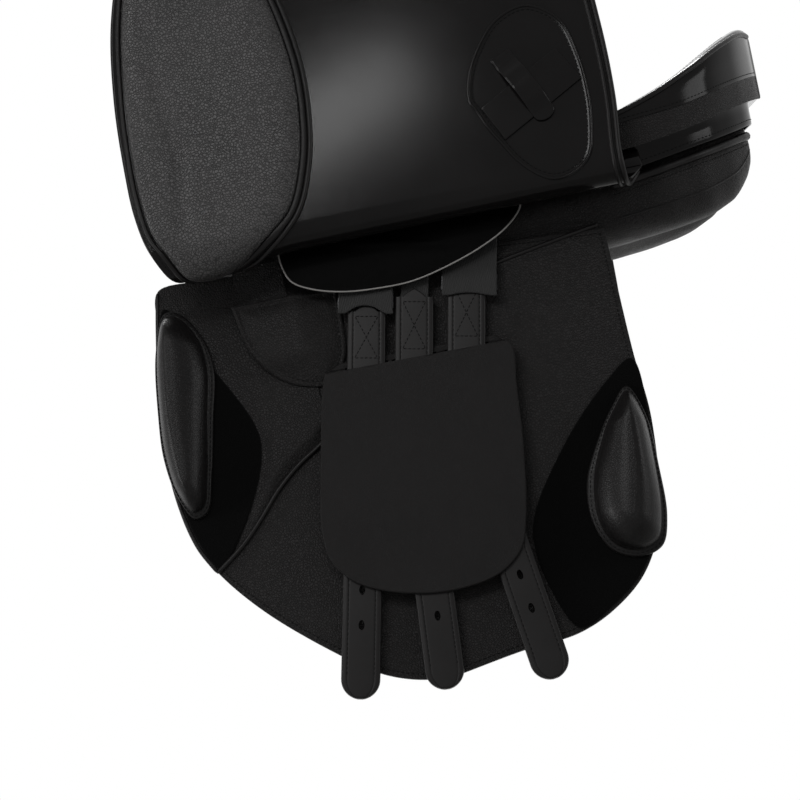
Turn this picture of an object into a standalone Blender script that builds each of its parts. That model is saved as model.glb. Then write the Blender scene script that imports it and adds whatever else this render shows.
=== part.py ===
"""A jumping saddle with its near flap lifted, built piece by piece as a saddler would.

Metres, +Z up, +X towards the cantle, -Y the near (left) side. The centre plane is Y = 0. The origin is level with
the tops of the girth straps, in line with the middle strap. Sheets of leather are cut flat to an outline and laid
along a fall line, which is the line that the sheet follows down the saddle's side when seen from the front.
"""

import math

import bmesh
import bpy
import numpy as np
from mathutils import Matrix, Vector

# Clearances and material thicknesses
CLEAR = 0.0003
FLAP_LEATHER = 0.0035
SKIRT_LEATHER = 0.003
SWEAT_LEATHER = 0.0035
SAFE_LEATHER = 0.0016
GUARD_LEATHER = 0.0026
STRAP_LEATHER = 0.0036
WEB_THICKNESS = 0.0012
LOOP_PILE = 0.0013
POCKET_LEATHER = 0.002

# Seat and tree: stations along X
SEAT_HALF_WIDTH = ((-0.172, 0.040), (-0.160, 0.052), (-0.140, 0.062), (0.060, 0.139), (0.110, 0.157), (0.160, 0.167),
                   (0.195, 0.163), (0.230, 0.146), (0.258, 0.112), (0.276, 0.070), (0.284, 0.038))
SEAT_CENTRE = ((-0.172, 0.113), (-0.155, 0.1235), (-0.120, 0.121), (-0.080, 0.110), (-0.030, 0.097), (0.020, 0.0885),
               (0.060, 0.086), (0.100, 0.0885), (0.150, 0.098), (0.200, 0.117), (0.240, 0.139), (0.262, 0.151),
               (0.276, 0.156), (0.284, 0.153))
SEAT_REAR_EDGE = ((0.060, 0.0885), (0.100, 0.092), (0.150, 0.100), (0.190, 0.111), (0.225, 0.126), (0.255, 0.142),
                  (0.276, 0.150), (0.284, 0.149))
SEAT_BAND_FOOT = ((0.060, 0.0780), (0.120, 0.0765), (0.163, 0.0745), (0.195, 0.0780), (0.226, 0.0840),
                  (0.260, 0.0940), (0.284, 0.1010))
SEAT_STATIONS = (-0.172, -0.168, -0.160, -0.140, -0.110, -0.080, -0.040, 0.000, 0.030, 0.060, 0.095, 0.130, 0.160,
                 0.190, 0.215, 0.238, 0.258, 0.272, 0.280, 0.284)
SEAT_PADDING = 0.009
TREE_SHARES = (1.0, 0.7, 0.35, 0.0, -0.35, -0.7, -1.0)
SEAT_BAND_WALL = 0.005
TREE_THICKNESS = 0.009
TREE_HALF_WIDTH = 0.108
TREE_FRONT = -0.160
TREE_REAR = 0.258
SEAT_HOLLOW_END = 0.270
SEAT_END_CROWN = 0.0006
PANEL_TOP_LIMIT = ((-0.150, 0.0690), (-0.030, 0.0685), (0.020, 0.0662), (0.070, 0.0655), (0.120, 0.0690),
                   (0.160, 0.0698), (0.200, 0.0850), (0.267, 0.0950))
SEAT_FOOT_FRONT = ((-0.172, 0.0045), (-0.110, 0.0048), (-0.080, 0.0063), (-0.060, 0.0080))
REAR_PANEL_RISE = 0.022
SWEAT_END_X = 0.165
PANEL_SIDE_BULGE = 0.001
PANEL_FULL_WIDTH = 0.080

# Skirt: hinged along the seat's welt, which runs straight from the pommel to the waist
WELT_FRONT_X = -0.140
WELT_REAR_X = 0.060
SKIRT_LINE = ((0.040, 0.1060), (0.062, 0.1040), (0.100, 0.0975), (0.126, 0.0925), (0.150, 0.0850), (0.166, 0.0755),
              (0.174, 0.0665))
SKIRT_WELT_GAP = 0.0012
SKIRT_LIFT_DEG = 60

# Flap: a far layer fixed to the tree, a fold, and the flap that turns about the fold's centre
FOLD_CENTRE = (0.180, 0.065)
FOLD_RADIUS = 0.013
FLAP_DOWN_DEG = -70.0
FLAP_UP_DEG = 102.0
FLAP_NEAR_SWING_DEG = 170
FLAP_OFF_SWING_DEG = 172
FLAP_TOP_RADIUS = 0.020
FLAP_TOP_INNER = TREE_HALF_WIDTH + CLEAR
FLAP_OUTLINE_FRONT = ((-0.160, 0.000), (-0.174, 0.018), (-0.182, 0.058), (-0.180, 0.115), (-0.171, 0.175),
                      (-0.150, 0.235), (-0.115, 0.288), (-0.065, 0.324), (-0.010, 0.338))
FLAP_OUTLINE_REAR = ((-0.010, 0.338), (0.050, 0.333), (0.104, 0.306), (0.142, 0.258), (0.160, 0.190), (0.166, 0.100),
                     (0.166, 0.000))
FLAP_TOP_FRONT = -0.160
FLAP_TOP_REAR = 0.166
PAD_OUTLINE = ((-0.170, 0.020), (-0.1775, 0.058), (-0.1755, 0.115), (-0.1665, 0.173), (-0.148, 0.225),
               (-0.122, 0.250), (-0.092, 0.235), (-0.066, 0.185), (-0.054, 0.120), (-0.060, 0.070), (-0.085, 0.022),
               (-0.125, 0.0085), (-0.155, 0.0085))
PAD_THICKNESS = 0.009
PAD_HOLLOW = 0.0055
KEEPER_CENTRE = (0.105, 0.064)
KEEPER_LENGTH = 0.058
KEEPER_WIDTH = 0.016
KEEPER_LEATHER = 0.0022
KEEPER_ROOM = 0.0052
KEEPER_TURN_DEG = 115.0

# Sweat flap: a flat sheet on a flare, with outlines given as (x, z) seen from the side
FLARE_DEG = 15.3
FLARE_OUT = 0.1577
SWEAT_FRONT = ((-0.150, 0.046), (-0.178, 0.0437), (-0.183, 0.016), (-0.1885, -0.020), (-0.1923, -0.061),
               (-0.1905, -0.105), (-0.183, -0.1387), (-0.1717, -0.1604), (-0.144, -0.1935), (-0.098, -0.233),
               (-0.073, -0.250), (-0.046, -0.259), (-0.021, -0.260))
SWEAT_REAR = ((-0.021, -0.260), (0.0237, -0.253), (0.064, -0.249), (0.0914, -0.238), (0.117, -0.218),
              (0.1345, -0.186), (0.145, -0.116), (0.1427, -0.065), (0.142, 0.024))
FRONT_LOOP = ((-0.176, 0.030), (-0.153, -0.012), (-0.127, -0.067), (-0.128, -0.089), (-0.150, -0.135),
              (-0.1705, -0.157), (-0.1815, -0.1375), (-0.189, -0.104), (-0.1905, -0.061), (-0.1865, -0.020))
REAR_LOOP = ((0.1405, -0.071), (0.1195, -0.0835), (0.079, -0.124), (0.0475, -0.175), (0.053, -0.223),
             (0.066, -0.2465), (0.090, -0.2365), (0.1155, -0.217), (0.133, -0.186), (0.1433, -0.116))
KNEE_OUTLINE = ((-0.176, 0.026), (-0.166, 0.024), (-0.153, 0.005), (-0.1485, -0.020), (-0.1555, -0.055),
                (-0.1635, -0.092), (-0.1715, -0.118), (-0.181, -0.121), (-0.1905, -0.103), (-0.195, -0.076),
                (-0.1935, -0.045), (-0.187, 0.000))
KNEE_CREST = ((-0.178, 0.000), (-0.183, -0.045), (-0.183, -0.095))
KNEE_HEIGHT = 0.020
THIGH_OUTLINE = ((0.1325, -0.090), (0.118, -0.104), (0.103, -0.126), (0.091, -0.150), (0.089, -0.178),
                 (0.098, -0.199), (0.116, -0.2075), (0.133, -0.203), (0.1405, -0.184), (0.1425, -0.150),
                 (0.1415, -0.112))
THIGH_CREST = ((0.129, -0.118), (0.126, -0.150), (0.118, -0.182))
THIGH_HEIGHT = 0.026
BLOCK_FLANGE = 0.003
BLOCK_SLIDE = 0.010
POCKET_OUTLINE = ((-0.1285, 0.020), (-0.122, -0.012), (-0.108, -0.033), (-0.088, -0.0445), (-0.069, -0.046),
                  (-0.056, -0.030), (-0.053, -0.008), (-0.053, 0.020))

# Panel: stations along X of its top edge, its lowest outer line and its inner foot
GULLET_HALF = 0.036
PANEL_STATIONS = (-0.150, -0.143, -0.125, -0.100, -0.070, -0.030, 0.020, 0.070, 0.120, 0.160, 0.195, 0.225, 0.248,
                  0.262, 0.267)
PANEL_OUTER = ((-0.150, 0.118), (-0.143, 0.130), (-0.125, 0.140), (-0.100, 0.1445), (-0.060, 0.148), (0.000, 0.1485),
               (0.160, 0.1485), (0.195, 0.142), (0.225, 0.128), (0.248, 0.106), (0.262, 0.084), (0.267, 0.072))
PANEL_WELT = ((-0.150, 0.030), (-0.125, 0.034), (-0.100, 0.040), (-0.060, 0.047), (0.000, 0.049), (0.100, 0.050),
              (0.163, 0.056), (0.223, 0.066), (0.250, 0.072), (0.267, 0.077))
PANEL_FOOT = ((-0.150, -0.012), (-0.143, -0.030), (-0.125, -0.044), (-0.100, -0.044), (-0.060, -0.022),
              (0.000, 0.000), (0.070, 0.008), (0.141, 0.012), (0.213, 0.0175), (0.248, 0.030), (0.262, 0.046),
              (0.267, 0.058))
PANEL_INNER_FOOT = ((-0.150, 0.062), (-0.100, 0.050), (-0.040, 0.036), (0.040, 0.026), (0.120, 0.026),
                    (0.200, 0.034), (0.248, 0.048), (0.267, 0.064))
PANEL_DROP_FRONT = 0.0165
PANEL_DROP_END_X = -0.086

# Head plate: a steel arch over the withers whose two points go down into the point pockets
HEAD_FRONT = -0.1235
HEAD_REAR = -0.0885
HEAD_STEEL = 0.004
HEAD_ARCH_STEPS = (0.0, 0.030, 0.060, 0.088)
HEAD_ARMS = ((0.112, 0.0680), (0.136, 0.0575), (0.1475, 0.0475))
POINT_TOP_Z = 0.030
POINT_END_Z = -0.018

# Stirrup bar and its catch
BAR_FRONT = -0.100
BAR_REAR = -0.004
BAR_PLATE = 0.004
BAR_SECTION_Y = 0.008
BAR_SECTION_Z = 0.007
BAR_SLOT = 0.0115
BAR_UNDER_SKIRT = 0.0060388
BAR_WINDOW = 0.006
CATCH_LENGTH = 0.020
CATCH_TURN_DEG = 62

# Girth straps
STRAP_WIDTH = 0.027
STRAP_LEAN_DEG = 11.9
STRAP_TOPS = ((-0.0346, -0.0010), (0.0, 0.0), (0.0370, -0.0025))
STRAP_BENDS_Z = -0.092
STRAP_ENDS = ((-0.0904, -0.2570), (-0.0324, -0.2620), (0.0400, -0.2690))
STRAP_NAMES = ("front", "middle", "rear")
HOLE_PITCH = 0.022
HOLE_WIDTH = 0.0042
HOLE_LENGTH = 0.0070
HOLE_COUNT = 6
FIRST_HOLE_FROM_TIP = 0.062
STRAP_HINGE_Z = 0.0172
STRAP_SWING_NEAR_DEG = 28
STRAP_SWING_OFF_DEG = 6

# Webs and slides
WEB_WIDTH = 0.032
MIDDLE_WEB_WIDTH = 0.020
WEB_SHIFTS = (-0.0008, 0.0, 0.0020)
WEB_LINE = ((0.128, 0.0655), (0.1440, 0.0570), (0.1535, 0.0410))
WEB_START = 0.100
WEB_SPARE = 0.0004
WEB_HIGHEST = 0.0715
SLIDE_WIRE = 0.0032
SLIDE_ROOM = 0.0046

# Safe over the webs
SAFE_LINE = ((0.1200, 0.0703), (0.1460, 0.0682), (0.1585, 0.0610), (0.1635, 0.0480), (0.1665, 0.0300),
             (0.1690, 0.0120))
SAFE_HALF_LENGTH = 0.088
SAFE_CENTRE_X = -0.001
SAFE_SHOULDER_Z = 0.043
SAFE_LOWEST_Z = 0.0145

# Buckle guard, in strap coordinates: across the straps, and down them
GUARD_TOP_LEFT = (-0.0540, 0.0470)
GUARD_TOP_RIGHT = (0.0580, 0.0256)
GUARD_STRIP = 0.004
GUARD_SLOT = 0.003
GUARD_SLOT_SPARE = 0.002
GUARD_OUTLINE = ((0.0682, 0.0335), (0.0722, 0.0650), (0.0767, 0.1055), (0.0783, 0.1542), (0.0749, 0.1760), (0.0608, 0.1926),
                 (0.0398, 0.2020), (0.0117, 0.2070), (-0.0200, 0.2055), (-0.0420, 0.1985), (-0.0565, 0.1850),
                 (-0.0630, 0.1640), (-0.0645, 0.1060),
                 (-0.0640, 0.0680), (-0.0612, 0.0530))
GUARD_UP = 0.015
GUARD_DOWN = 0.025

# Small fittings
NAIL_X = -0.150
NAIL_Y = 0.050
NAIL_RADIUS = 0.007
FACING_FRONT = 0.190
FACING_LEATHER = 0.003
FACING_GAP = 0.0008
FACING_TUCK = 0.004

FLARE = math.radians(FLARE_DEG)
LEAN = math.radians(STRAP_LEAN_DEG)
SIDES = (("near", -1), ("off", 1))

# Heights of the layers above the sweat flap's face
GUARD_BACK = CLEAR + POCKET_LEATHER + CLEAR
STRAP_BACK = GUARD_BACK + GUARD_LEATHER + CLEAR
GUARD_FRONT = STRAP_BACK + STRAP_LEATHER + CLEAR
BLOCK_BASE = CLEAR + LOOP_PILE + CLEAR
STEEL_BASE = CLEAR


def remove_everything():
    for obj in list(bpy.data.objects):
        bpy.data.objects.remove(obj, do_unlink=True)


def leather(name, grey, roughness):
    """A Principled material in one shade of grey."""
    material = bpy.data.materials.new(name)
    material.use_nodes = True
    shader = material.node_tree.nodes["Principled BSDF"]
    shader.inputs["Base Color"].default_value = (grey, grey, grey, 1.0)
    shader.inputs["Roughness"].default_value = roughness
    return material


def steel(name, grey, roughness):
    material = leather(name, grey, roughness)
    material.node_tree.nodes["Principled BSDF"].inputs["Metallic"].default_value = 1.0
    return material


def along(table, x):
    """A smooth line through the stations of a table, read at x: cubic pieces whose slopes suit their neighbours."""
    xs = [p[0] for p in table]
    ys = [p[1] for p in table]
    if x <= xs[0]:
        return ys[0]
    if x >= xs[-1]:
        return ys[-1]
    k = max(i for i in range(len(xs) - 1) if xs[i] <= x)
    steps = [(ys[i + 1] - ys[i]) / (xs[i + 1] - xs[i]) for i in range(len(xs) - 1)]

    def slope(i):
        if i == 0:
            return steps[0]
        if i == len(steps):
            return steps[-1]
        if steps[i - 1] * steps[i] <= 0:
            return 0.0
        return 2 * steps[i - 1] * steps[i] / (steps[i - 1] + steps[i])

    h = xs[k + 1] - xs[k]
    t = (x - xs[k]) / h
    return (ys[k] * (1 + 2 * t) * (1 - t) ** 2 + h * slope(k) * t * (1 - t) ** 2
            + ys[k + 1] * t * t * (3 - 2 * t) + h * slope(k + 1) * t * t * (t - 1))


def curve(points, steps, closed=False):
    """Points on a centripetal curve through the given points."""
    pts = [np.array(p, float) for p in points]
    n = len(pts)
    spans = n if closed else n - 1
    out = []
    for i in range(spans):
        if closed:
            p0, p1, p2, p3 = (pts[(i + k) % n] for k in (-1, 0, 1, 2))
        else:
            p1, p2 = pts[i], pts[i + 1]
            p0 = pts[i - 1] if i else 2 * p1 - p2
            p3 = pts[i + 2] if i + 2 < n else 2 * p2 - p1
        t0, t1 = 0.0, math.sqrt(np.linalg.norm(p1 - p0))
        t2 = t1 + math.sqrt(np.linalg.norm(p2 - p1))
        t3 = t2 + math.sqrt(np.linalg.norm(p3 - p2))
        for s in range(steps):
            t = t1 + (t2 - t1) * s / steps
            a1 = p0 * (t1 - t) / (t1 - t0) + p1 * (t - t0) / (t1 - t0)
            a2 = p1 * (t2 - t) / (t2 - t1) + p2 * (t - t1) / (t2 - t1)
            a3 = p2 * (t3 - t) / (t3 - t2) + p3 * (t - t2) / (t3 - t2)
            b1 = a1 * (t2 - t) / (t2 - t0) + a2 * (t - t0) / (t2 - t0)
            b2 = a2 * (t3 - t) / (t3 - t1) + a3 * (t - t1) / (t3 - t1)
            out.append(tuple(b1 * (t2 - t) / (t2 - t1) + b2 * (t - t1) / (t2 - t1)))
    if not closed:
        out.append(tuple(pts[-1]))
    return out


def arc(centre, radius, start_deg, end_deg, steps):
    """Points on an arc, both ends included."""
    angles = [math.radians(start_deg + (end_deg - start_deg) * i / steps) for i in range(steps + 1)]
    return [(centre[0] + radius * math.cos(a), centre[1] + radius * math.sin(a)) for a in angles]


class Fall:
    """A fall line: points (distance out from the centre plane, height), followed by length, with a side to each."""

    def __init__(self, points):
        self.points = [np.array(p, float) for p in points]
        gaps = [np.linalg.norm(b - a) for a, b in zip(self.points, self.points[1:])]
        self.at = [0.0]
        for gap in gaps:
            self.at.append(self.at[-1] + gap)

    def normal(self, i):
        d = self.points[i + 1] - self.points[i]
        return np.array((-d[1], d[0])) / np.linalg.norm(d)

    def point(self, v, height):
        """The place v along the line, lifted to its left by height."""
        last = len(self.points) - 2
        i = min(max(sum(1 for a in self.at[1:-1] if a <= v + 1e-9), 0), last)
        n = self.normal(i)
        if i and abs(v - self.at[i]) < 1e-7:
            m = n + self.normal(i - 1)
            n = m / np.dot(m, n)
        share = (v - self.at[i]) / (self.at[i + 1] - self.at[i])
        return self.points[i] + (self.points[i + 1] - self.points[i]) * share + n * height

    def place(self, side):
        """A rule that lays flat cloth coordinates (x, v) and a height on this fall line at one side."""

        def lay(x, v, height):
            out, up = self.point(v, height)
            return Vector((x, side * out, up))

        return lay

    def bends(self, axis=1):
        """Lines across the cloth at which it bends."""
        normal = (0.0, 1.0, 0.0) if axis else (1.0, 0.0, 0.0)
        return [((0.0, a, 0.0), normal) for a in self.at[1:-1]]


def on_flare(side):
    """Lays outlines drawn as (x, z) from the side on the sweat flap's flat face, with a height above it."""

    def lay(x, z, height):
        out = FLARE_OUT - z * math.tan(FLARE) + height * math.cos(FLARE)
        return Vector((x, side * out, z + height * math.sin(FLARE)))

    return lay


def finish_mesh(name, bm, material, carrier=None, smooth_deg=35):
    """Turns a bmesh into the named object, with its faces outward and its origin at its carrier."""
    bmesh.ops.remove_doubles(bm, verts=bm.verts, dist=0.000002)
    bmesh.ops.recalc_face_normals(bm, faces=bm.faces)
    mesh = bpy.data.meshes.new(name)
    if carrier is not None:
        bmesh.ops.transform(bm, matrix=Matrix.Translation(-carrier.location), verts=bm.verts)
    bm.to_mesh(mesh)
    bm.free()
    mesh.materials.append(material)
    mesh.shade_smooth()
    mesh.set_sharp_from_angle(angle=math.radians(smooth_deg))
    obj = bpy.data.objects.new(name, mesh)
    bpy.context.scene.collection.objects.link(obj)
    if carrier is not None:
        obj.parent = carrier
    return obj


def carrier(name, location):
    """An empty on a joint's axis, which carries the pieces that move together."""
    empty = bpy.data.objects.new(name, None)
    empty.location = location
    bpy.context.scene.collection.objects.link(empty)
    return empty


def cut_flat(outline, holes, bends):
    """A flat bmesh cut to an outline with holes, and split along the bend lines."""
    bm = bmesh.new()
    for loop in [outline, *holes]:
        verts = [bm.verts.new((u, v, 0.0)) for u, v in loop]
        for i, vert in enumerate(verts):
            bm.edges.new((vert, verts[(i + 1) % len(verts)]))
    bmesh.ops.triangle_fill(bm, use_beauty=True, use_dissolve=False, edges=bm.edges[:], normal=(0, 0, 1))
    for point, normal in bends:
        bmesh.ops.bisect_plane(bm, geom=bm.verts[:] + bm.edges[:] + bm.faces[:], dist=1e-6,
                               plane_co=point, plane_no=normal)
    return bm


def sheet(name, outline, lay, low, high, material, carrier=None, holes=(), bends=()):
    """A sheet between two heights, cut to an outline and laid by a rule. A height is a number or a rule (u, v)."""
    flat = cut_flat(outline, holes, bends)
    flat.verts.ensure_lookup_table()
    flat.verts.index_update()
    level_low = low if callable(low) else (lambda u, v: low)
    level_high = high if callable(high) else (lambda u, v: high)
    bm = bmesh.new()
    bottom = []
    top = []
    for vert in flat.verts:
        u, v = vert.co.x, vert.co.y
        bottom.append(bm.verts.new(lay(u, v, level_low(u, v))))
        top.append(bm.verts.new(lay(u, v, level_high(u, v))))
    for face in flat.faces:
        ids = [vert.index for vert in face.verts]
        bm.faces.new([top[i] for i in ids])
        bm.faces.new([bottom[i] for i in reversed(ids)])
    for edge in flat.edges:
        if len(edge.link_faces) == 1:
            a, b = (vert.index for vert in edge.verts)
            bm.faces.new((top[a], top[b], bottom[b], bottom[a]))
    flat.free()
    return finish_mesh(name, bm, material, carrier)


def nearest_on(line, point):
    """The place on a polyline that is nearest to a point."""
    best = None
    p = np.array(point)
    for a, b in zip(line, line[1:]):
        a, b = np.array(a), np.array(b)
        t = min(max(np.dot(p - a, b - a) / np.dot(b - a, b - a), 0.0), 1.0)
        q = a + (b - a) * t
        if best is None or np.linalg.norm(p - q) < np.linalg.norm(p - best):
            best = q
    return best


def mound(name, outline, crest, base, profile, lay, material, carrier=None):
    """A padded form: an outline at its base that rises in rings towards a crest line.

    The profile lists (share of the way from the outline to the crest, height)."""
    bm = bmesh.new()
    rings = [[bm.verts.new(lay(u, v, base)) for u, v in outline]]
    for share, height in profile:
        ring = []
        for u, v in outline:
            target = nearest_on(crest, (u, v))
            q = np.array((u, v)) * (1 - share) + target * share
            ring.append(bm.verts.new(lay(q[0], q[1], height)))
        rings.append(ring)
    n = len(outline)
    for lower, upper in zip(rings, rings[1:]):
        for i in range(n):
            j = (i + 1) % n
            bm.faces.new((lower[i], lower[j], upper[j], upper[i]))
    bm.faces.new(rings[-1])
    bm.faces.new(list(reversed(rings[0])))
    bmesh.ops.triangulate(bm, faces=[f for f in bm.faces if len(f.verts) > 4])
    return finish_mesh(name, bm, material, carrier)


def loft(name, sections, material, carrier=None, smooth_deg=50):
    """A closed body through loops of points that all have the same count, capped at both ends."""
    bm = bmesh.new()
    loops = [[bm.verts.new(p) for p in section] for section in sections]
    n = len(loops[0])
    for a, b in zip(loops, loops[1:]):
        for i in range(n):
            j = (i + 1) % n
            bm.faces.new((a[i], a[j], b[j], b[i]))
    bm.faces.new(loops[0])
    bm.faces.new(list(reversed(loops[-1])))
    bmesh.ops.triangulate(bm, faces=[f for f in bm.faces if len(f.verts) > 4])
    return finish_mesh(name, bm, material, carrier, smooth_deg)


def block(name, low, high, material, side=1, carrier=None, bevel=0.0):
    """A box between two corners, mirrored to its side."""
    bm = bmesh.new()
    bmesh.ops.create_cube(bm, size=1.0)
    for vert in bm.verts:
        vert.co = Vector(tuple(low[k] if vert.co[k] < 0 else high[k] for k in range(3)))
        vert.co.y *= side
    if bevel:
        bmesh.ops.bevel(bm, geom=bm.edges[:], offset=bevel, segments=1, affect="EDGES", profile=0.5)
    return finish_mesh(name, bm, material, carrier)


# Surfaces that several pieces share


def seat_edge(x):
    """Height of the seat's edge: on the skirt's line in front of the waist, and on its own line behind."""
    if x <= WELT_REAR_X:
        return along(SKIRT_LINE, along(SEAT_HALF_WIDTH, x))
    return along(SEAT_REAR_EDGE, x)


def seat_top(x, y):
    """The seat's upper face: a crown or a dish between its centre line and its edges."""
    half = along(SEAT_HALF_WIDTH, x)
    edge = seat_edge(x)
    share = min(abs(y) / half, 1.0)
    return edge + (along(SEAT_CENTRE, x) - edge) * (1 - share ** 2.3)


def tree_top(x, y):
    """The tree's upper face lies under the seat's padding, and runs on flat where the tree is the wider."""
    half = along(SEAT_HALF_WIDTH, x) - SEAT_BAND_WALL - 0.001
    beyond = max(abs(y) - half, 0.0)
    ledge = 0.0012 if beyond else 0.0
    return seat_top(x, min(abs(y), half)) - SEAT_PADDING - CLEAR - ledge - 0.15 * beyond


def tree_foot(x, y):
    return tree_top(x, y) - TREE_THICKNESS


def tree_half_width(x):
    """The tree is narrow at the head and the cantle, and even between."""
    limit = along(SEAT_HALF_WIDTH, x) - 0.010
    if x < -0.085:
        limit = along(((-0.158, 0.052), (-0.125, 0.078), (-0.085, TREE_HALF_WIDTH)), x)
    return min(TREE_HALF_WIDTH, limit if x < -0.085 or x > 0.060 else TREE_HALF_WIDTH)


def under_reach(x):
    """How far out the seat's underside and the tree's top share their lines."""
    inside = along(SEAT_HALF_WIDTH, x) - SEAT_BAND_WALL - 0.002
    return min(tree_half_width(min(max(x, TREE_FRONT), TREE_REAR)) - 0.001, inside)


def sweat_inside(z):
    """How far out the sweat flap's inner face lies at a height, with its clearance."""
    return FLARE_OUT - z * math.tan(FLARE) - SWEAT_LEATHER / math.cos(FLARE) - CLEAR


def sweat_top(x):
    """The height of the sweat flap's top edge."""
    (x1, z1), (x0, z0) = SWEAT_REAR[-1], SWEAT_FRONT[0]
    return z0 + (z1 - z0) * (x - x0) / (x1 - x0)


def head_arch():
    """The head plate's line from the centre out: close under the tree, then down its arms."""
    under = [(y, min(tree_foot(x, y) for x in (HEAD_FRONT, HEAD_REAR)) - CLEAR - HEAD_STEEL / 2 - 0.001)
             for y in HEAD_ARCH_STEPS]
    return under + list(HEAD_ARMS)


def panel_drop(x):
    """How far the panel's top lies under the tree: more in front, where the head plate's arms pass."""
    webs = CLEAR + WEB_THICKNESS + CLEAR
    return along(((-0.150, PANEL_DROP_FRONT), (PANEL_DROP_END_X, PANEL_DROP_FRONT), (-0.066, webs), (0.2, webs)), x)


def flap_top_line():
    """The far layer's fall line: out over the panel, then down round an arc to the fold's start."""
    centre = Vector(FOLD_CENTRE)
    turn = math.radians(FLAP_DOWN_DEG - 90)
    inward = Vector((math.cos(turn), math.sin(turn)))
    start = centre + inward * FOLD_RADIUS
    arc_centre = start + inward * FLAP_TOP_RADIUS
    bend = arc(arc_centre, FLAP_TOP_RADIUS, 88, FLAP_DOWN_DEG + 90, 5)
    inner_z = bend[0][1] + (bend[0][0] - FLAP_TOP_INNER) * math.tan(math.radians(2))
    return [(FLAP_TOP_INNER, inner_z), *bend]


def flap_line(direction_deg, length):
    """The flap's own fall line: straight from the fold's end, in the given direction."""
    turn = math.radians(direction_deg - 90)
    start = Vector(FOLD_CENTRE) + Vector((math.cos(turn), math.sin(turn))) * FOLD_RADIUS
    along_flap = Vector((math.cos(math.radians(direction_deg)), math.sin(math.radians(direction_deg))))
    return [tuple(start), tuple(start + along_flap * length)]


def bar_out():
    """How far out the stirrup bar's outer face lies."""
    return TREE_HALF_WIDTH + CLEAR + BAR_PLATE + BAR_SLOT + BAR_SECTION_Y


def bar_foot():
    """The height of the bar's underside: a set room below the skirt, where the skirt passes over its outer face."""
    return along(SKIRT_LINE, bar_out()) - BAR_UNDER_SKIRT - BAR_SECTION_Z


# Seat, tree and what is under them


def make_seat(material):
    shares = (-1.0, -0.93, -0.80, -0.60, -0.35, 0.0, 0.35, 0.60, 0.80, 0.93, 1.0)
    sections = []
    for x in SEAT_STATIONS:
        half = along(SEAT_HALF_WIDTH, x)
        foot = along(SEAT_BAND_FOOT, x) if x > WELT_REAR_X else seat_edge(x) - along(SEAT_FOOT_FRONT, x)
        end = min(1.0, 0.35 + 40 * min(x - SEAT_STATIONS[0], SEAT_STATIONS[-1] - x))
        top = [(x, half * s * (0.985 if abs(s) == 1 else 1), seat_top(x, half * s) - 0.004 * (1 - end)
                - (0.0015 if abs(s) == 1 else 0)) for s in shares]
        inner = half - SEAT_BAND_WALL
        edge = seat_edge(x)
        solid = x > SEAT_HOLLOW_END

        def under_face(y):
            closed = foot + SEAT_END_CROWN * (2 - (y / inner) ** 2)
            return closed if solid else max(closed, seat_top(x, y) - SEAT_PADDING)

        reach = under_reach(x)
        side = [(half, edge - 0.0035), (half - 0.0005, foot), (inner, foot), (inner - 0.001, under_face(inner - 0.001))]
        under = [(reach * s, under_face(reach * s)) for s in TREE_SHARES]
        section = [Vector(p) for p in top]
        section += [Vector((x, y, z)) for y, z in side]
        section += [Vector((x, y, z)) for y, z in under]
        section += [Vector((x, -y, z)) for y, z in reversed(side)]
        sections.append(section)
    return loft("seat", sections, material)


def make_tree(material):
    stations = [x for x in SEAT_STATIONS if TREE_FRONT <= x <= TREE_REAR]
    sections = []
    for x in stations:
        half = tree_half_width(x)
        across = [half, *(under_reach(x) * s for s in TREE_SHARES), -half]
        section = [Vector((x, y, tree_top(x, y))) for y in across]
        section += [Vector((x, y, tree_foot(x, y))) for y in reversed(across)]
        sections.append(section)
    return loft("tree", sections, material)


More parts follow.
